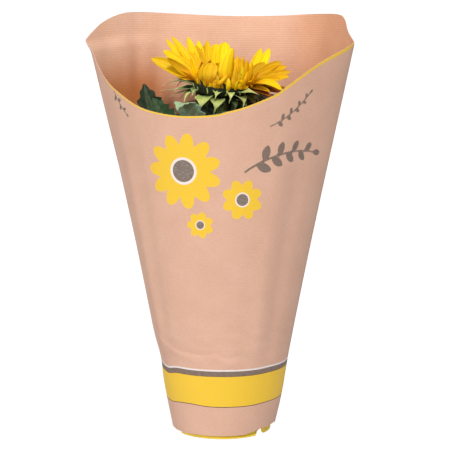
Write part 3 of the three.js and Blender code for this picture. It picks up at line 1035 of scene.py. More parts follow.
@dataclass
class Pot:
    """A 12 cm thin-walled grower's pot with a collar and three drainage arches in its foot, full of peat.

    Lengths are in millimetres, and the foot, the shoulder and the rim are radii.
    """

    height: float = 105.0
    foot: float = 46.0
    shoulder: float = 54.2
    rim: float = 59.6
    collar: float = 93.0  # height from which the collar stands out
    wall: float = 1.4
    floor: float = 8.0  # height of the floor inside
    recess: float = 6.4  # height of the underside inside the foot ring
    ring: float = 3.2  # width of the foot ring
    bead: Points = (  # how far out from the foot, and height
        (0.1, 0.0), (0.8, 0.6), (0.9, 1.3), (0.7, 2.2), (0.3, 3.2), (0.2, 4.6))
    arches: tuple[float, ...] = (-32.0, 88.0, 208.0)  # directions, degrees
    arch_width: float = 13.0
    arch_height: float = 6.0
    sides: int = 360
    peat_edge: float = 89.0
    peat_top: float = 95.0
    peat_gap: float = 0.5  # between the peat and the wall
    peat_foot: float = 0.84  # radius of the peat's underside, as a share of its top's
    lumps: Points = ((0.6, 9.0), (0.5, 3.5))  # height and length
    crumbs: int = 900
    crumb_sides: int = 6

    def profile(self) -> Array:
        """The pot's section, from the middle of its underside round its wall to the middle of its floor.

        Returns:
            Rows of radius and height.
        """
        ring, foot, neck, lip = self.foot - self.ring, self.foot, self.shoulder, self.rim
        recess, floor, collar, top, wall = self.recess, self.floor, self.collar, self.height, self.wall
        return np.array([
            (0.5, recess), (ring - 1.5, recess), (ring, recess - 0.8), (ring + 0.3, 0.5), (ring + 0.9, 0.0),
            *((foot + out, level) for out, level in self.bead),
            (neck - 0.2, collar - 1.2), (neck + 0.5, collar - 0.2), (lip - 2.2, collar),
            (lip - 1.7, collar + 0.7), (lip - 0.3, top - 0.8), (lip - 0.7, top - 0.1),
            (lip - 1.2, top - 0.1), (lip - wall - 0.2, top - 0.8), (neck - 0.4, collar + 2),
            (neck - wall - 0.2, collar - 2), (foot - wall + 0.6, floor + 1.2), (foot - wall - 0.8, floor),
            (0.5, floor)])

    def build(self) -> None:
        """Builds the pot and its peat."""
        angle = around(self.sides)[None, :]
        profile = self.profile()
        z = np.broadcast_to(profile[:, 1:], (len(profile), self.sides))
        for direction in self.arches:
            away = (angle - math.radians(direction) + math.pi) % (2 * math.pi) - math.pi
            reach = np.clip(1 - (away * self.foot / (self.arch_width / 2)) ** 2, 0, None)
            z = np.where(z < self.recess, np.maximum(z, (self.arch_height + 0.2) * reach**0.25), z)
        pot = Skin()
        pot.rings(polar(profile[:, :1], angle, z))
        moulded = Mottled("polypropylene_injection_moulded", 0.46, 0.35, subsurface=0.05, light="ffdb2c",
                          dark="fecf20", grain=1.2, relief=0.03, contrast=1.0)
        pot.made("pot_moulded", [moulded.make()], "pot_plastic", "pot", crease=40)
        self.peat(angle)

    def peat(self, angle: Array) -> None:
        """Builds the peat: a low dome roughened by ripples, with crumbs pressed into it.

        Args:
            angle: the directions of the dome's columns.
        """
        rng = np.random.default_rng(SEED)
        inner = lerp(self.foot, self.shoulder, self.peat_edge / self.collar) - self.wall - self.peat_gap
        share = np.concatenate([np.linspace(0.02, 1, 40), [1.0]])[:, None]
        x, y = inner * share * np.cos(angle), inner * share * np.sin(angle)
        rough = sum(height * ripple(x, y, length, rng, 8) for height, length in self.lumps)
        z = lerp(self.peat_top, self.peat_edge, share**2) + rough * (1 - share**8) - 0.8
        z[-1] = self.floor + 0.4
        x[-1], y[-1] = x[-1] * self.peat_foot, y[-1] * self.peat_foot
        soil, crumbs = Skin(), Skin()
        soil.rings(np.stack([x, y, z], -1))
        peat = [Mottled("peat_compost_loose", 0.95, 0.2, light="5a3f2c", dark="21150d", grain=1.6,
                        relief=0.8).make()]
        soil.made("peat_surface", peat, "peat_soil", "soil", crease=180)
        level, girths = np.array([[-0.6], [0.0], [0.6]]), np.array([[0.5], [1.0], [0.55]])
        for _ in range(self.crumbs):
            out, way = inner * 0.96 * math.sqrt(rng.uniform(0.02, 1)), rng.uniform(0, 2 * math.pi)
            size = rng.uniform(0.7, 2.2)
            height = lerp(self.peat_top, self.peat_edge, (out / inner) ** 2) - 0.2
            girth = girths * size * rng.uniform(0.75, 1.2, (3, self.crumb_sides))
            crumbs.rings(polar(girth, around(self.crumb_sides), level * size) + polar(out, way, height))
        crumbs.made("peat_crumbs", peat, "peat_soil", crease=180)


# ---- Stem, stalks and leaves ----


@dataclass(frozen=True)
class Leaf:
    """One leaf: where its stalk joins the stem, where its tip lies and how it bends. Lengths in mm."""

    azimuth: float
    attach: float
    tip: float
    reach: float  # share of the sleeve's radius
    width: float
    arch: float = 9.0  # how far the midrib stands above the tip before it
    roll: float = 0.0  # degrees that the blade is rolled about its midrib
    erect: float = 0.0  # 0 for an even arch, 1 for a stalk that runs level and a blade that stands up
    look: int = 0


@dataclass
class Foliage:
    """The stem from the peat to the flower's neck, and the leaves on their stalks. Lengths are in mm."""

    sleeve: Sleeve
    bottom: float = 5.6  # radius of the stem at the peat
    neck: float = 4.4  # and under the flower
    flare: float = 1.6  # how much thicker its very foot is
    soil: float = 95.0  # height of the peat
    low: float = 95.3  # the stem's lower end
    head: float = 323.0  # its upper end
    bow: float = 3.0  # how far it bows to the left half-way up
    lean: float = 2.0  # how far it leans to the back at its top
    hair_count: int = 420
    tiers: tuple[tuple[float, ...], ...] = (  # joint's and tip's height, count, first azimuth, reach, width
        (122, 196, 2, 15, 0.78, 44), (158, 242, 2, 105, 0.78, 54), (202, 288, 2, 20, 0.76, 60))
    crown: tuple[Leaf, ...] = (
        Leaf(46, 240, 324, 0.66, 58), Leaf(120, 248, 316, 0.66, 58),
        Leaf(187, 226, 341, 0.645, 46, -36, 74, 0.7), Leaf(204, 230, 330, 0.65, 50, -22, 62, 0.6, 1),
        Leaf(230, 236, 321, 0.64, 40, 28, 0, 0.2, 3), Leaf(296, 252, 318, 0.56, 52, 9, 0, 0, 1),
        Leaf(80, 262, 322, 0.5, 62), Leaf(340, 240, 322, 0.64, 56, 9, 15))
    stalk_share: float = 0.4  # of the midrib's length
    stalk: float = 2.2  # its mean radius
    stalk_rings: int = 24
    sink: float = 15.0  # how far the leaves that point to the front and the back hang down
    stagger: float = 4.0  # every other leaf of a tier stands this much higher, and the rest lower
    tier_roll: float = 8.0
    thickness: float = 0.5
    clearance: float = 1.2  # from the sleeve
    teeth: int = 9  # down each side of a blade
    veins: float = 7.5  # side veins down each side
    quilt: float = 2.3  # how far it stands up between its veins
    fold: float = 5.5  # how far its sides stand above the midrib
    wave: float = 2.2  # height of its edge's waves
    waves: float = 2.6  # how many of them down each side
    lobe: float = 0.16  # how far its foot's lobes reach back, as a share of its width

    def share(self, z: Any) -> Any:
        """Share of the way up from the peat to the flower's neck."""
        return (z - self.soil) / (self.head - self.soil)

    def centre(self, z: Array) -> Array:
        """Centre of the stem at height z: a lean that grows as t^2 and a bow of half a sine."""
        t = self.share(z)
        return np.stack([-self.bow * np.sin(np.pi * t), self.lean * t * t, z], -1)

    def stem(self) -> None:
        """Builds the stem: circles that taper, with low ribs along them, and stiff hairs."""
        z, turn = np.linspace(self.low, self.head, 160), around(40)
        t = self.share(z)[:, None]
        radius = lerp(self.bottom, self.neck, t) + self.flare * np.exp(-14 * t)
        radius = radius * (1 + 0.025 * np.cos(9 * turn + 2 * t) + 0.012 * np.cos(23 * turn))
        skin = Skin()
        skin.rings(self.centre(z)[:, None, :] + polar(radius, turn, 0.0))
        green = Mottled("sunflower_stem_green", 0.55, 0.4, subsurface=0.1, light="a3b865", dark="7d984a",
                        grain=1.5, stretch=(1.0, 1.0, 0.15), relief=0.2, contrast=0.8)
        skin.made("stem_shaft", [green.make()], "stem_green", "stem")
        self.hairs()

    def hairs(self) -> None:
        """Builds the stem's bristles, three-sided spikes at seeded places."""
        rng = np.random.default_rng(SEED + 3)
        skin = Skin()
        turn = np.array([[0.0], [2.1], [4.2]])
        for _ in range(self.hair_count):
            high, way = rng.uniform(self.low + 4, self.head), rng.uniform(0, 2 * math.pi)
            out, aside = polar(1.0, way, 0.0), polar(1.0, way + math.pi / 2, 0.0)
            foot = self.centre(np.array(high)) + out * (lerp(self.bottom, self.neck, self.share(high)) - 0.3)
            ring = 0.16 * (np.cos(turn) * aside + np.sin(turn) * [0, 0, 1.0])
            tip = foot + out * rng.uniform(1.2, 2.2) + [0, 0, rng.uniform(-0.3, 0.7)]
            skin.rings(np.stack([foot + ring, tip + ring * 0.15]))
        pale = Mottled("sunflower_stem_hair", 0.5, light="e2e6c4", dark="c9d0a0", grain=1.0, relief=0.05)
        skin.made("stem_hairs", [pale.make()], "stem_green", crease=180)

    def leaves(self) -> list[Leaf]:
        """Lists every leaf: the lower tiers evenly round the stem, then the crown's own.

        Returns:
            The leaves, in the order in which they are built.
        """
        found = []
        for attach, tip, count, first, reach, width in self.tiers:
            for i in range(count):
                azimuth, hand = first + i * 360 / count, 1 if i % 2 else -1
                step = hand * self.stagger
                sink = self.sink * math.sin(math.radians(azimuth)) ** 2
                found.append(Leaf(azimuth, attach + step, tip + step - sink, reach, width,
                                  roll=hand * self.tier_roll, look=i % 2))
        return [*found, *self.crown]

    def midrib(self, leaf: Leaf, t: Array) -> tuple[Array, ...]:
        """A leaf's midrib, a cubic curve from the stem's centre in the upright plane at its azimuth.

        Args:
            leaf: the leaf.
            t: places along it.

        Returns:
            Its points, and the directions along it, across it and up from its face.
        """
        azimuth = math.radians(leaf.azimuth)
        wide = self.sleeve.half_width(np.array(leaf.tip), np.array(1.0)) - self.clearance
        deep = parabola(np.array(leaf.tip), self.sleeve.depths) - self.clearance
        length = leaf.reach / math.hypot(math.cos(azimuth) / wide, math.sin(azimuth) / deep)
        knee = leaf.attach + lerp(0.3, 0.1, leaf.erect) * (leaf.tip - leaf.attach)
        stops = [self.centre(np.array(leaf.attach)),
                 polar(length * lerp(0.42, 0.7, leaf.erect), azimuth, knee),
                 polar(length * lerp(0.72, 0.98, leaf.erect), azimuth, leaf.tip + leaf.arch),
                 polar(length, azimuth, leaf.tip)]
        t = t[:, None]
        point = sum(c * (1 - t) ** (3 - k) * t**k * p for k, (c, p) in enumerate(zip((1, 3, 3, 1), stops)))
        along = unit(np.gradient(point, axis=0))
        across = unit(np.cross([0, 0, 1.0], along))
        up = np.cross(along, across)
        roll = np.radians(leaf.roll) * ease(t, 0.15, 0.5)
        cos, sin = np.cos(roll), np.sin(roll)
        return point, along, across * cos - up * sin, up * cos + across * sin

    def blade(self, skin: Skin, leaf: Leaf, rng: np.random.Generator) -> None:
        """Adds one leaf blade: heart-shaped, toothed, quilted between its veins and waved at its edge.

        Half the width at s is sin(pi s^0.62)^0.75 (1 - 0.25 s). The side veins run forward at s - 0.3 |t|.

        Args:
            skin: the mesh it joins.
            leaf: the leaf.
            rng: seeded source of its waves.
        """
        s, t = np.linspace(0, 1, 60)[:, None], np.linspace(-1, 1, 31)[None, :]
        point, along, across, up = self.midrib(leaf, lerp(self.stalk_share, 1.0, s[:, 0]))
        outline = np.maximum(0.04, np.sin(np.pi * s**0.62) ** 0.75 * (1 - 0.25 * s))
        tooth = (s * self.teeth + 0.15 + 0.3 * np.sign(t)) % 1.0
        jag = 0.46 * np.abs(t) ** 5 * np.minimum(tooth / 0.75, (1 - tooth) / 0.25) * ease(s, 0.02, 0.12)
        half = leaf.width / 2 * outline * (0.82 + jag)
        vein = np.abs(np.sin(np.pi * self.veins * (s - 0.3 * np.abs(t) * outline)))
        quilt = self.quilt * outline * vein**0.5 * (1 - t**2) * (1 - bump_at(t, 0, 0.1))
        fold = self.fold * outline * np.abs(t) ** 1.3 - 1.2 * bump_at(t, 0, 0.06) * outline
        phase = np.where(t < 0, *rng.uniform(0, 6, 2))
        wave = self.wave * outline * np.abs(t) ** 3 * np.sin(2 * math.pi * self.waves * s + phase)
        back = -self.lobe * leaf.width * np.abs(t) ** 1.6 * (1 - s) ** 3
        middle = (point[:, None, :] + across[:, None, :] * (t * half)[..., None]
                  + up[:, None, :] * (quilt + fold + wave)[..., None] + along[:, None, :] * back[..., None])
        skin.sheet(middle, self.thickness, np.stack(np.broadcast_arrays(t, s), -1), (2, leaf.look),
                   tone=rng.uniform(0, 1))

    def build(self) -> None:
        """Builds the stem, the stalks and the blades."""
        self.stem()
        rng = np.random.default_rng(SEED + 4)
        blades, stalks = Skin(), Skin()
        turn, leaves = around(12), self.leaves()
        girth = (self.stalk * lerp(1.1, 0.6, np.linspace(0, 1, self.stalk_rings)))[:, None]
        girth = girth * (1 - 0.3 * np.clip(np.sin(turn), 0, None) ** 6)  # a groove along its upper side
        places = np.linspace(0.02, self.stalk_share + 0.02, self.stalk_rings)
        for leaf in leaves:
            self.blade(blades, leaf, rng)
            point, _, across, up = self.midrib(leaf, places)
            ring = (np.cos(turn) * girth)[..., None] * across[:, None, :]
            ring = ring + (np.sin(turn) * girth)[..., None] * up[:, None, :]
            stalks.rings(point[:, None, :] + ring)
        # Its pale blue-green vein colour runs in a broad band along each blade's middle: partly the paler
        # midrib and partly a painted highlight.
        green = BladeFinish("", 0.42, 0.45, 0.08, 0.05, vein="9db089", turn=0.2, veins=1.0, vein_share=0.2,
                            spread=0.3, grain=3.0)
        # The deep look is a very dark copy of the leaf green: painted shade for the leaves deep in the
        # sleeve and in the flower's shadow.
        deep, mid, young = (
            replace(green, name=f"sunflower_leaf_{name}", foot=foot, tip=tip).make()
            for name, foot, tip in (
                ("deep", "23371a", "1d2f18"), ("mid", "41603a", "375433"), ("young", "a9bf94", "9bb68a")))
        under = replace(green, name="sunflower_leaf_underside", roughness=0.65, specular=0.3, sheen=0.2,
                        foot="a8c6a4", tip="9cbd9c", vein="b4c8a4", spread=0.12).make()
        numbers = range(1, len(leaves) + 1)
        blades.made("leaf_blades", [deep, mid, under, young], "leaf_green",
                    *(f"leaf_{n:02d}" for n in numbers), uv=BLADE_MAP)
        pale = Mottled("sunflower_leaf_stalk", 0.5, 0.4, subsurface=0.1, light="a9bb6d", dark="86a050",
                       grain=2.0, relief=0.15)
        stalks.made("leaf_stalks", [pale.make()], "leaf_green", *(f"petiole_{n:02d}" for n in numbers))


# ---- Flower head ----


class Outline(Enum):
    """How half a blade's width changes along it, from foot (0) to tip (1)."""

    RAY = "ray"
    BROAD = "broad"
    BRACT = "bract"
    QUILL = "quill"

    def width(self, s: Array) -> Array:
        """Share of the full half width at s.

        A ray swells from a narrow claw and closes to a point, and a broad one to a round end. A bract is
        egg-shaped and drawn out to a fine tip, and a quill is a narrow strap with a blunt end.

        Args:
            s: 0 at the foot and 1 at the tip.

        Returns:
            The share.
        """
        if self is Outline.RAY:
            return (0.42 + 0.58 * ease(s, 0, 0.4)) * np.clip(1 - s**4.2, 0, None) ** 0.75 + 0.01
        if self is Outline.BROAD:
            return (0.42 + 0.58 * ease(s, 0, 0.45)) * np.clip(1 - s**9, 0, None) ** 0.6 + 0.01
        if self is Outline.BRACT:
            swell = 0.75 + 0.25 * ease(s, 0, 0.25)
            return swell * (1 - ease(s, 0.15, 0.8) * 0.86) * (1 - s**5) ** 0.7 + 0.01
        return (0.7 + 0.3 * ease(s, 0, 0.5)) * np.clip(1 - s**6, 0, None) ** 0.6 + 0.01


@dataclass(frozen=True)
class Blade:
    """One petal or bract, by the places of its foot and tip in the head's own axes, in mm and degrees."""

    azimuth: float
    reach: float  # radius of its tip
    rise: float  # height of its tip
    width: float
    look: int = 0
    lag: float = 0.0  # degrees from its tip's azimuth to its foot's
    bow: float = 0.0  # how far its middle line stands above the straight line, as a share of the length
    swing: float = 0.0  # the same sideways
    twist: float = 0.0
    outline: Outline = Outline.RAY
    foot: tuple[float, float] = (25.0, 1.0)  # radius and height of its foot
    cup: float = 0.22  # depth of its channel, as a share of its width
    ribs: int = 2
    ruffle: float = 0.0
    under: int = 0


@dataclass(frozen=True)
class Tuft:
    """Seeded blades that stand round the head at even steps.

    Its values are those of Blade. A pair is a draw from the one to the other, and a single number is itself.
    """

    count: int
    steps: tuple[float, float, float]  # the first azimuth, the step and how far one strays, degrees
    reach: Span
    rise: Span
    width: Span
    look: Span
    lag: Span = 0.0
    bow: Span = 0.0
    swing: Span = 0.0
    twist: Span = 0.0
    outline: Outline = Outline.QUILL
    foot: tuple[Span, Span] = (25.0, 1.0)
    cup: float = 0.3
    ruffle: Span = 0.0
    under: int = 0
    mesh: tuple[int, int] = (10, 5)  # points along a blade and across it
    rooted: bool = False  # whether the reach is counted from the foot

    def blades(self, rng: np.random.Generator) -> Iterator[Blade]:
        """Draws the blades, each one only when it is asked for.

        Args:
            rng: seeded source of the draws.

        Yields:
            Each blade in turn.
        """

        def draw(*spans: Span) -> list[float]:
            """Draws from the pairs, and passes single numbers on."""
            return [rng.uniform(*span) if isinstance(span, tuple) else span for span in spans]

        first, step, stray = self.steps
        for i in range(self.count):
            azimuth = first + i * step + rng.uniform(-stray, stray)
            foot = draw(*self.foot) if self.rooted else None
            reach, rise, width = draw(self.reach, self.rise, self.width)
            look = int(rng.integers(*self.look)) if isinstance(self.look, tuple) else self.look
            bent = draw(self.lag, self.bow, self.swing, self.twist)
            if foot is None:
                foot = draw(*self.foot)
            else:
                reach += foot[0]
            yield Blade(azimuth, reach, rise, width, look, *bent, self.outline, (foot[0], foot[1]), self.cup,
                        1, *draw(self.ruffle), self.under)


@dataclass
class Head:
    """The flower: a green cup with bracts under it, a dome of florets and rings of rays round it."""

    foliage: Foliage
    lift: float = 15.9  # the rim of the cup above the stem's end
    tilt: tuple[float, float] = (4.0, 5.0)
    disc: float = 20.5  # its radius
    dome: float = 8.0  # its height
    florets: int = 260
    floret_height: tuple[float, float] = (3.2, 5.0)
    floret: Points = (  # radius, and share of its height
        (0.5, 0.0), (0.55, 0.5), (0.75, 0.8), (1.0, 1.0), (0.3, 0.85))
    floret_lean: float = 0.9  # of those at the edge, radians
    thickness: float = 0.3
    groove: float = 0.03  # depth of a blade's furrows, as a share of its width
    ruffles: float = 9.0
    cup_profile: Points = ((4.6, -17.0), (5.6, -14.8), (12.5, -9.6), (20.4, -5.6), (24.6, -2.4), (24.4, 0.2))
    cup_ribs: int = 24
    rays: tuple[Blade, ...] = (
        Blade(174, 72, 18, 14, 0, -8, 0.03, 0.03, -56), Blade(-177, 55, 22, 9, 3, -8, -0.04, -0.15, -50),
        Blade(157, 68, 23, 12, 2, 16, 0.06, 0.02, -42), Blade(154, 68, 34, 9, 0, 13, -0.03, -0.06, -32),
        Blade(148, 67, 36, 9, 2, 10, 0.01, -0.04, -25), Blade(142, 54, 24, 12, 4, 12, 0.05, 0, -20),
        Blade(131, 64, 34.5, 10, 0, 18, 0, 0.01, -15), Blade(126, 56, 27, 12, 3, 16, 0.02, 0, -8),
        Blade(121, 62, 31, 9.5, 2, 20, 0.01, 0.01, -8), Blade(117, 56, 27, 7, 3, 24, 0.01, 0.05),
        Blade(112, 62, 31, 9.5, 0, 12, 0, 0.02), Blade(103, 63, 27.5, 11.5, 2, 8, 0, 0.02, 0, Outline.BROAD),
        Blade(96, 62, 30, 12, 2, 0, 0.01, 0, 0, Outline.BROAD), Blade(84, 58, 15, 13, 0, 0, 0.05),
        Blade(72, 58, 10, 13, 1, 0, 0.1), Blade(61, 62, 29, 10.5, 0, -28, -0.02, -0.02, 18),
        Blade(53, 64, 30.5, 10.5, 2, -32, -0.01, -0.05, 20), Blade(43, 50, 19.5, 10, 3, -26, 0.06, 0.04, 30),
        Blade(33, 63, 22, 10, 3, -20, 0.07, -0.03, 35), Blade(29, 67, 18, 11, 3, -18, 0.08, -0.03, 40),
        Blade(20, 68, 15, 10, 3, -14, 0.05, 0.02, 42), Blade(-8, 65, 17, 11, 1, 8, 0.04, 0.03, 42),
        Blade(-17, 60, 15, 10, 3, 14, 0.04, 0.05, 40), Blade(-28, 68, 8, 10, 2, 26, 0.13, 0.02, 20),
        Blade(-30, 56, 4.5, 8, 3, 20, 0.04, 0.02, 10), Blade(-33, 60, 1, 12, 5, 16, 0.02),
        Blade(-22, 65, 4, 13, 5, 14, 0.02), Blade(-11, 60, 3, 12, 5, 8, 0), Blade(-1, 62, 4, 12, 3, 0, 0))
    near_rays: tuple[Blade, ...] = (
        Blade(-63, 21, 41.5, 15.5, 0, -6, -0.04, -0.1, 0, foot=(22, 2.5), cup=0.34),
        Blade(-127, 18, 24, 20.5, 1, 12, -0.24, 0.02, 0, Outline.BROAD, (24.8, 3), 0.2, 3, 0.5, 1),
        Blade(-112, 19, 18, 13, 3, 6, -0.22, 0.05, 12, Outline.BROAD, (24, 1), 0.1, 2, 0.5),
        Blade(-152, 21, 21, 13, 1, 16, -0.15, -0.05, -15, Outline.BROAD, (24.5, 2), 0.12),
        Blade(-168, 33, 25, 11, 2, 8, -0.04, 0, -35, foot=(24.5, 2)),
        Blade(-107, 27, 14, 10, 2, 6, 0.12, 0.05, 10, foot=(24.5, 0), cup=0.1, ruffle=0.4),
        Blade(-112, 27.6, 15.5, 2, 2, -15, 0.05, 0, 0, Outline.QUILL, (27, 12.5), 0.2, 1),
        Blade(-50, 22, 34, 10.5, 4, 0, -0.08), Blade(-40, 25, 34, 9.5, 1, 0, -0.06),
        Blade(-33, 28, 31, 10, 4, 0, -0.08), Blade(-25, 31, 28.5, 10, 1, 0, -0.1),
        Blade(-44, 27, 26, 7, 2, 0, -0.15), Blade(-56, 26, 20, 8, 1, 8, -0.2, 0.1),
        Blade(-36, 31, 20, 7, 4, -8, -0.2, -0.1), Blade(-66, 28, 14, 7, 4, 10, -0.2),
        Blade(-22, 34, 16, 8, 4, 0, -0.1), Blade(-80, 26, 17, 8, 4, 8, -0.15),
        Blade(-14, 36, 20, 8, 1, 0, -0.05), Blade(-47, 30, 13, 7, 0, -10, -0.2, 0.1),
        Blade(-52, 30, 9, 6, 4, -14, 0.2, 0.2), Blade(-32, 35, 11, 7, 1, 12, 0.15, -0.1),
        Blade(-74, 28, 9, 6, 1, -10, 0.1, 0.1), Blade(-60, 27, 25, 6, 1, -6, -0.1, 0.05))
    short_rays: tuple[Tuft, ...] = (
        Tuft(40, (0, 9, 4), (-3, 4), (14, 22), (4.5, 7), (1, 5), (-10, 10), (-0.2, 0.1), 0, (-25, 25),
             foot=((16, 21), 2.0), cup=0.4, mesh=(12, 7), rooted=True),
        Tuft(46, (-48, 0, 36), (25, 32), (3, 18), (2.4, 4.5), (0, 5), (-20, 20), (-0.35, 0.35),
             (-0.35, 0.35), (-60, 60), foot=((23, 25.5), (-1, 5)), cup=0.35, mesh=(14, 5)),
        Tuft(110, (0, 360 / 110, 1.2), (25.7, 26.7), (7, 11), (0.9, 1.5), (1, 5), 0, (-0.12, 0.0),
             foot=(25.4, 0.5), mesh=(8, 5)))
    near_bracts: tuple[Blade, ...] = (
        Blade(-173, 58, -5, 14, 0, 0, 0.13, -0.03, 10, foot=(25, -1)),
        Blade(-156, 48, -5.5, 11, 1, -14, 0.08, -0.07, 30, foot=(26, -3)),
        Blade(-157, 61, -5.5, 13, 0, -14, 0, 0, 10, foot=(26, -4)),
        Blade(177, 52, 0, 12, 1, -5, 0.08, foot=(25, 0)),
        Blade(-158, 52, -12, 6, 0, -12, 0.02, -0.1, 0, foot=(25, -5)),
        Blade(-134, 37, -8, 10, 0, -24, 0.1, 0, 0, foot=(25, -3)),
        Blade(-146, 40, -15.5, 14, 1, -14, 0.22, -0.1, 5, foot=(22, -7)),
        Blade(-121, 34, -23, 19, 1, -5, 0.36, 0.2, 0, foot=(23, -7.5)),
        Blade(-95, 33, -7, 10, 1, 2, 0.3, 0.08, 0, foot=(24.5, -0.5)),
        Blade(-96, 31, -22, 15, 1, 3, 0.4, 0.12, 0, foot=(22, -8)),
        Blade(-71, 33, -10, 9, 1, 3, 0.42, 0.06, 0, foot=(24.5, -0.5)),
        Blade(-34, 47, 0, 11, 1, -8, 0.12, -0.08, 25, foot=(25, -1)),
        Blade(-47, 35, -15, 14, 1, 3, 0.34, 0.1, 0, foot=(22, -5.5)),
        Blade(-28, 31, -20, 11, 0, -7, 0.3, -0.1, 0, foot=(19, -8)))
    far_bracts: tuple[Tuft, ...] = (
        Tuft(14, (-8, 184 / 13, 5), (40, 54), (-14, -5), (9.35, 12.1), (0, 2), 0, (0.1, 0.3), (-0.15, 0.15),
             (-35, 35), Outline.BRACT, (24.6, -2.0), 0.15, (0.3, 1.0), 2, (20, 9)),
        Tuft(11, (-8, 18.4, 5), (31, 45), (-26, -17), (10.2, 13.2), (0, 2), 0, (0.1, 0.3), (-0.15, 0.15),
             (-35, 35), Outline.BRACT, (21.0, -5.4), 0.15, (0.3, 1.0), 2, (20, 9)),
        Tuft(12, (0, 30, 6), (20, 25), (-26, -20), (9, 12), 2, 0, (0.3, 0.45), (-0.2, 0.2), 0, Outline.BRACT,
             (15, -9.0), 0.15, 0.4, 2, (16, 7)))
    # A ring of near-black bracts round the cup's rim: painted shadow for the dark gap under the florets.
    hem: Tuft = Tuft(24, (-178, 7, 2), 28.4, (2.2, 3.8), 9.0, 3, 0, -0.05, 0, (-8, 8), Outline.BROAD,
                     (26.2, -5.0), 0.1, 0.3, 3, (10, 7))
    sliver: Blade = Blade(0, 29.4, 0, 1.2, 1, 0, -0.05, 0.1, 0, Outline.QUILL, (27.4, -4.0), 0.2, 1, 0, 1)
    dark_tips: tuple[Blade, ...] = tuple(
        Blade(azimuth, 28.6, 8.5, 4.0, 3, 8, -0.03, 0.1, 0, Outline.RAY, (26.4, -3.0), 0.2, 1, 0, 3)
        for azimuth in (-134, -83))

    def __post_init__(self) -> None:
        """Works out the head's place from the top of the stem, and its turn from its tilt."""
        self.place = self.foliage.centre(np.array(self.foliage.head)) + [0, 0, self.lift]
        self.turn = np.array(Euler((*map(math.radians, self.tilt), 0)).to_matrix())

    def world(self, points: Array) -> Array:
        """Carries points from the head's own axes into the frame's."""
        return points @ self.turn.T + self.place

    def grow(self, skin: Skin, blade: Blade, rng: np.random.Generator, rows: int = 18,
             columns: int = 9) -> None:
        """Adds one blade, a ribbed channel whose middle line is a quadratic curve from its foot to its tip.

        Args:
            skin: the mesh it joins.
            blade: its shape.
            rng: seeded source of its tone and ruffle.
            rows: points along it.
            columns: points across it.
        """
        s, t = np.linspace(0, 1, rows), np.linspace(-1, 1, columns)[None, :]
        way, back = math.radians(blade.azimuth), math.radians(blade.azimuth + blade.lag)
        start, stop = polar(blade.foot[0], back, blade.foot[1]), polar(blade.reach, way, blade.rise)
        chord = stop - start
        length, onward = np.linalg.norm(chord), unit(chord)
        aside = polar(1.0, way + math.pi / 2, 0.0)
        aside = unit(aside - np.dot(aside, onward) * onward)
        bend = (start + stop) / 2 + 2 * length * (blade.bow * np.cross(onward, aside) + blade.swing * aside)
        line = np.stack([(1 - s) ** 2, 2 * s * (1 - s), s**2], -1) @ np.stack([start, bend, stop])
        along = unit(np.gradient(line, axis=0))
        up = unit(np.cross(along, aside))
        side = np.cross(up, along)
        roll = np.radians(blade.twist) * ease(s, 0, 0.5)[:, None]
        across = np.cos(roll) * side + np.sin(roll) * up
        face = np.cos(roll) * up - np.sin(roll) * side
        half = blade.width / 2 * blade.outline.width(s)[:, None]
        groove = self.groove * blade.width * np.cos(math.pi * blade.ribs * t) * (1 - t**2)
        wave = blade.ruffle * np.sin(self.ruffles * s[:, None] + rng.uniform(0, 6)) * t * np.abs(t)
        lift = blade.cup * 2 * half * (t**2 - 0.4) + (groove + wave) * half / blade.width * 2
        middle = line[:, None] + across[:, None] * (t * half)[..., None] + face[:, None] * lift[..., None]
        uv = np.stack(np.broadcast_arrays(t, s[:, None]), -1)
        skin.sheet(self.world(middle), self.thickness, uv, (blade.under or blade.look, blade.look),
                   tone=rng.uniform(0, 1))

    def tufts(self, skin: Skin, tufts: Sequence[Tuft], rng: np.random.Generator) -> None:
        """Adds the blades of several tufts.

        Args:
            skin: the mesh they join.
            tufts: the tufts.
            rng: seeded source of the draws.
        """
        for tuft in tufts:
            for blade in tuft.blades(rng):
                self.grow(skin, blade, rng, *tuft.mesh)

    def second_ring(self, skin: Skin, rng: np.random.Generator, count: int = 17) -> None:
        """Adds the rays inside the outer ones. Those at the back stand up, and those at the sides twist.

        Args:
            skin: the mesh they join.
            rng: seeded source of the draws.
            count: how many.
        """
        for i in range(count):
            azimuth = 175 - i * 11.5 + rng.uniform(-3, 3)
            raised = math.sin(math.radians(azimuth)) ** 2
            blade = Blade(azimuth, rng.uniform(42, 50), 6 + 10 * raised + rng.uniform(-1, 1),
                          rng.uniform(11, 14),
                          int(rng.integers(0, 3)) if raised > 0.5 else 4 if azimuth > 90 else 3,
                          rng.uniform(-4, 4), 0.06, rng.uniform(-0.06, 0.06),
                          40 * math.cos(math.radians(azimuth)) + rng.uniform(-10, 10), foot=(24, 1.0))
            self.grow(skin, blade, rng)

    def ray_rings(self) -> None:
        """Builds the outer rays, the second ring and the short ones that stand round the florets."""
        rng = np.random.default_rng(SEED + 5)
        outer, inner = Skin(), Skin()
        for blade in (*self.rays, *self.near_rays):
            self.grow(outer, blade, rng)
        self.second_ring(inner, rng)
        self.tufts(inner, self.short_rays, rng)
        # The ochre look is partly the duller colour of the petals' backs and partly painted shade: a darker
        # copy of the petal colour for petals in shadow.
        petal = BladeFinish("", 0.6, 0.2, subsurface=0.2, turn=0.5, veins=3.0, vein_share=0.45, spread=0.16)
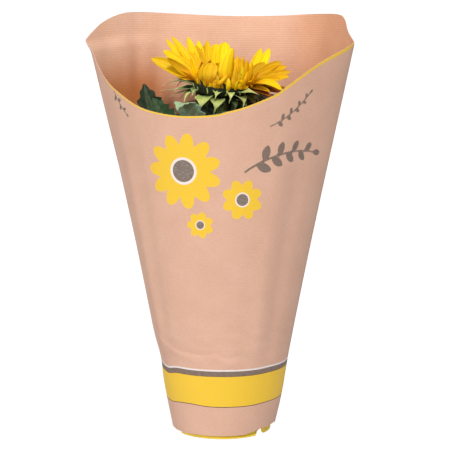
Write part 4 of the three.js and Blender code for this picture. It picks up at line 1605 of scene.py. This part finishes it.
        # The last look, a dark red-brown, is painted shadow for the petals that lie under the lower right
        # rays.
        looks = [replace(petal, name=f"sunflower_ray_{name}", foot=foot, tip=tip, vein=foot).make()
                 for name, foot, tip in (
                     ("lemon", "e89600", "efc500"), ("golden", "dd8a00", "e6b200"),
                     ("bright", "ee9c00", "f5cd00"), ("ochre", "c88200", "d4a400"),
                     ("orange", "e09600", "ecae00"), ("shadow_brown", "57200a", "8a4812"))]
        outer.made("ray_petals_outer", looks, "petal_yellow", *(f"ray_spray_{n:02d}" for n in range(1, 11)),
                   uv=BLADE_MAP)
        inner.made("ray_petals_inner", looks, "petal_yellow", uv=BLADE_MAP)

    def bulge(self, share: Any) -> Any:
        """Height of the disc's dome, by the share of its radius."""
        return 1.2 + (self.dome - 2) * np.sqrt(np.maximum(0.0, 1 - share**2))

    def disc_dome(self) -> None:
        """Builds the dome and its florets, little tubes with flared mouths on a sunflower spiral."""
        rng = np.random.default_rng(SEED + 6)
        share = np.cos(np.linspace(0, math.pi / 2 * 0.98, 14))[:, None]
        radius = np.concatenate([[[self.disc * 0.8]], self.disc * share])
        under, tubes = Skin(), Skin()
        under.rings(self.world(polar(radius, around(48), np.concatenate([[[0.4]], self.bulge(share)]))))
        base = Mottled("sunflower_disc_base", 0.8, 0.2, light="b7791a", dark="6d4a10", grain=1.2, relief=0.5)
        under.made("disc_base", [base.make()], "disc_orange", "disc_florets", crease=180)
        side, golden = around(5), math.pi * (3 - math.sqrt(5))
        girth, level = np.array(self.floret).T[..., None]
        for n in range(self.florets):
            share = math.sqrt((n + 0.5) / self.florets)
            way, lean = n * golden, self.floret_lean * share**2
            axis = polar(math.sin(lean), way, math.cos(lean))
            foot = polar(self.disc * share, way, self.bulge(share))
            first = unit(np.cross(axis, [0.3, 0.2, 1.0] if abs(axis[2]) < 0.95 else [1.0, 0, 0]))
            second = np.cross(axis, first)
            tall = rng.uniform(*self.floret_height)
            ring = (girth * np.cos(side))[..., None] * first + (girth * np.sin(side))[..., None] * second
            tubes.rings(self.world(foot + ring + (level * tall)[..., None] * axis),
                        look=int(rng.integers(0, 2)), tone=rng.uniform(0, 1))
        looks = [Mottled(f"sunflower_floret_{name}", 0.6, 0.3, subsurface=0.15, light=light, dark=dark,
                         grain=1.0, relief=0.1).make()
                 for name, light, dark in (("orange", "f0a81c", "d58a10"), ("yellow", "f7c32a", "e09a14"))]
        tubes.made("disc_floret_tubes", looks, "disc_orange", crease=180)

    def cup(self) -> None:
        """Builds the green cup under the florets, a turned form with soft ribs, and the bracts on it."""
        rng = np.random.default_rng(SEED + 7)
        profile, turn = spline(self.cup_profile, 40), around(96)
        cup, bracts = Skin(), Skin()
        radius = profile[:, :1] * (1 + 0.015 * np.cos(self.cup_ribs * turn))
        cup.rings(self.world(polar(radius, turn, profile[:, 1:])))
        # The cup's near-black green is painted shade for the dark hollow under the flower.
        green = Mottled("sunflower_cup_green", 0.6, 0.4, subsurface=0.08, light="2f3f24", dark="1d2818",
                        grain=1.5, relief=0.2, contrast=0.8)
        cup.made("flower_cup", [green.make()], "stem_green", "receptacle", crease=180)
        for blade in self.near_bracts:
            self.grow(bracts, replace(blade, outline=Outline.BRACT, under=2, ribs=1, cup=0.12,
                                      ruffle=rng.uniform(0.2, 0.8)), rng, 22, 9)
        self.tufts(bracts, self.far_bracts, rng)
        for i, blade in enumerate(self.hem.blades(rng)):
            self.grow(bracts, blade, rng, *self.hem.mesh)
            if i % 3 == 0:
                self.grow(bracts, replace(self.sliver, azimuth=blade.azimuth, rise=rng.uniform(0, 3),
                                          lag=rng.uniform(-8, 8)), rng, 10, 5)
        for blade in self.dark_tips:
            self.grow(bracts, blade, rng, 12, 7)
        # The last look, near-black, is painted shadow, worn by the bracts that ring the cup's rim.
        bract = BladeFinish("", 0.55, 0.4, 0.05, 0.1, turn=0.6, veins=2.0, vein_share=0.25, spread=0.15)
        looks = [replace(bract, name=f"sunflower_bract_{name}", specular=gloss, foot=foot, tip=tip,
                         vein=vein).make()
                 for name, foot, tip, vein, gloss in (
                     ("deep", "5d7540", "98ab66", "c3cf96", 0.4),
                     ("pale", "93a34e", "bfc46c", "c3cf96", 0.4),
                     ("shaded", "2c3a22", "4a5e34", "7c9060", 0.4),
                     ("shadow_black", "0f130d", "1c2618", "3c4c34", 0.12))]
        bracts.made("bracts", looks, "bract_green", "bract_collar", uv=BLADE_MAP)

    def build(self) -> None:
        """Builds the whole flower head."""
        self.cup()
        self.disc_dome()
        self.ray_rings()


# ---- Studio ----


@dataclass(frozen=True)
class Lamp:
    """A far soft lamp, which lights the floor evenly. Its angles are in degrees."""

    name: str
    azimuth: float  # the direction it stands in, from +X
    height: float  # its elevation
    spread: float  # how wide it looks
    power: float  # watts a square metre

    def build(self) -> None:
        """Adds the lamp."""
        light = bpy.data.lights.new(self.name, "SUN")
        light.angle, light.energy = math.radians(self.spread), self.power
        lamp = bpy.data.objects.new(self.name, light)
        lamp.rotation_euler = (math.radians(90 - self.height), 0, math.radians(self.azimuth + 90))
        bpy.context.scene.collection.objects.link(lamp)


@dataclass
class Studio:
    """A white floor and surround, a lamp high in front, a broad low one at the front left, and a camera."""

    lamps: tuple[Lamp, ...] = (Lamp("key", -76, 52, 12, 2.4), Lamp("fill", -135, 12, 60, 1.15))
    surround: float = 0.49  # its strength
    floor_size: float = 40.0  # metres
    distance: float = 2600.0
    lens: float = 214.16  # mm, on a 36 mm sensor
    elevation: float = 10.9
    azimuth: float = 6.0
    roll: float = -0.15
    target: tuple[float, float] = (2.63, 202.5)  # across the view and up

    def build(self) -> None:
        """Builds the floor, the lights and the camera."""
        scene = bpy.context.scene
        scene.view_settings.view_transform = "Standard"
        scene.world = bpy.data.worlds.new("studio_surround")
        scene.world.use_nodes = True
        sky = scene.world.node_tree.nodes["Background"].inputs
        sky["Color"].default_value, sky["Strength"].default_value = WHITE, self.surround
        bpy.ops.mesh.primitive_plane_add(size=self.floor_size, location=(0, 0, 0))
        floor = bpy.context.object
        floor.name = "studio_floor"
        paint = Graph("studio_floor_matt")
        paint.fill(paint.shader, {
            "Base Color": (0.06, 0.06, 0.06, 1.0), "Roughness": 1.0, "Specular IOR Level": 0.0,
            "Emission Color": WHITE, "Emission Strength": 1.0})
        floor.data.materials.append(paint.material)
        floor.visible_diffuse = False  # the lit floor doesn't light the sleeve from below
        floor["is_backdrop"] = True
        for lamp in self.lamps:
            lamp.build()
        self.camera()

    def camera(self) -> None:
        """Places the camera on its arc round the target, with its slight roll."""
        turn, rise = math.radians(self.azimuth), math.radians(self.elevation)
        back = Vector((math.sin(turn) * math.cos(rise), -math.cos(turn) * math.cos(rise), math.sin(rise)))
        across, up = self.target
        target = Vector((across * math.cos(turn), across * math.sin(turn), up))
        data = bpy.data.cameras.new("camera")
        data.lens, data.sensor_width = self.lens, 36.0
        data.clip_start, data.clip_end = 0.1, 60.0
        camera = bpy.data.objects.new("camera", data)
        right = Vector((math.cos(turn), math.sin(turn), 0))
        upward = back.cross(right)
        rolled = Matrix.Rotation(math.radians(self.roll), 3, back)
        axes = Matrix((rolled @ right, rolled @ upward, back)).transposed()
        place = (target + back * self.distance) * MM
        camera.matrix_world = Matrix.LocRotScale(place, axes.to_quaternion(), None)
        bpy.context.scene.collection.objects.link(camera)
        bpy.context.scene.camera = camera


def main() -> None:
    """Builds the studio and the sub-assemblies in order."""
    logging.basicConfig(level=logging.INFO, format="%(name)s: %(message)s")
    Studio().build()
    sleeve = Sleeve()
    sleeve.build()
    Pot().build()
    foliage = Foliage(sleeve)
    foliage.build()
    Head(foliage).build()
    boxes = {"cad": CAD_BOX, "visual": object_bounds()}
    {name: [list(corner) for corner in box] for name, box in boxes.items()}


if __name__ == "__main__":
    main()
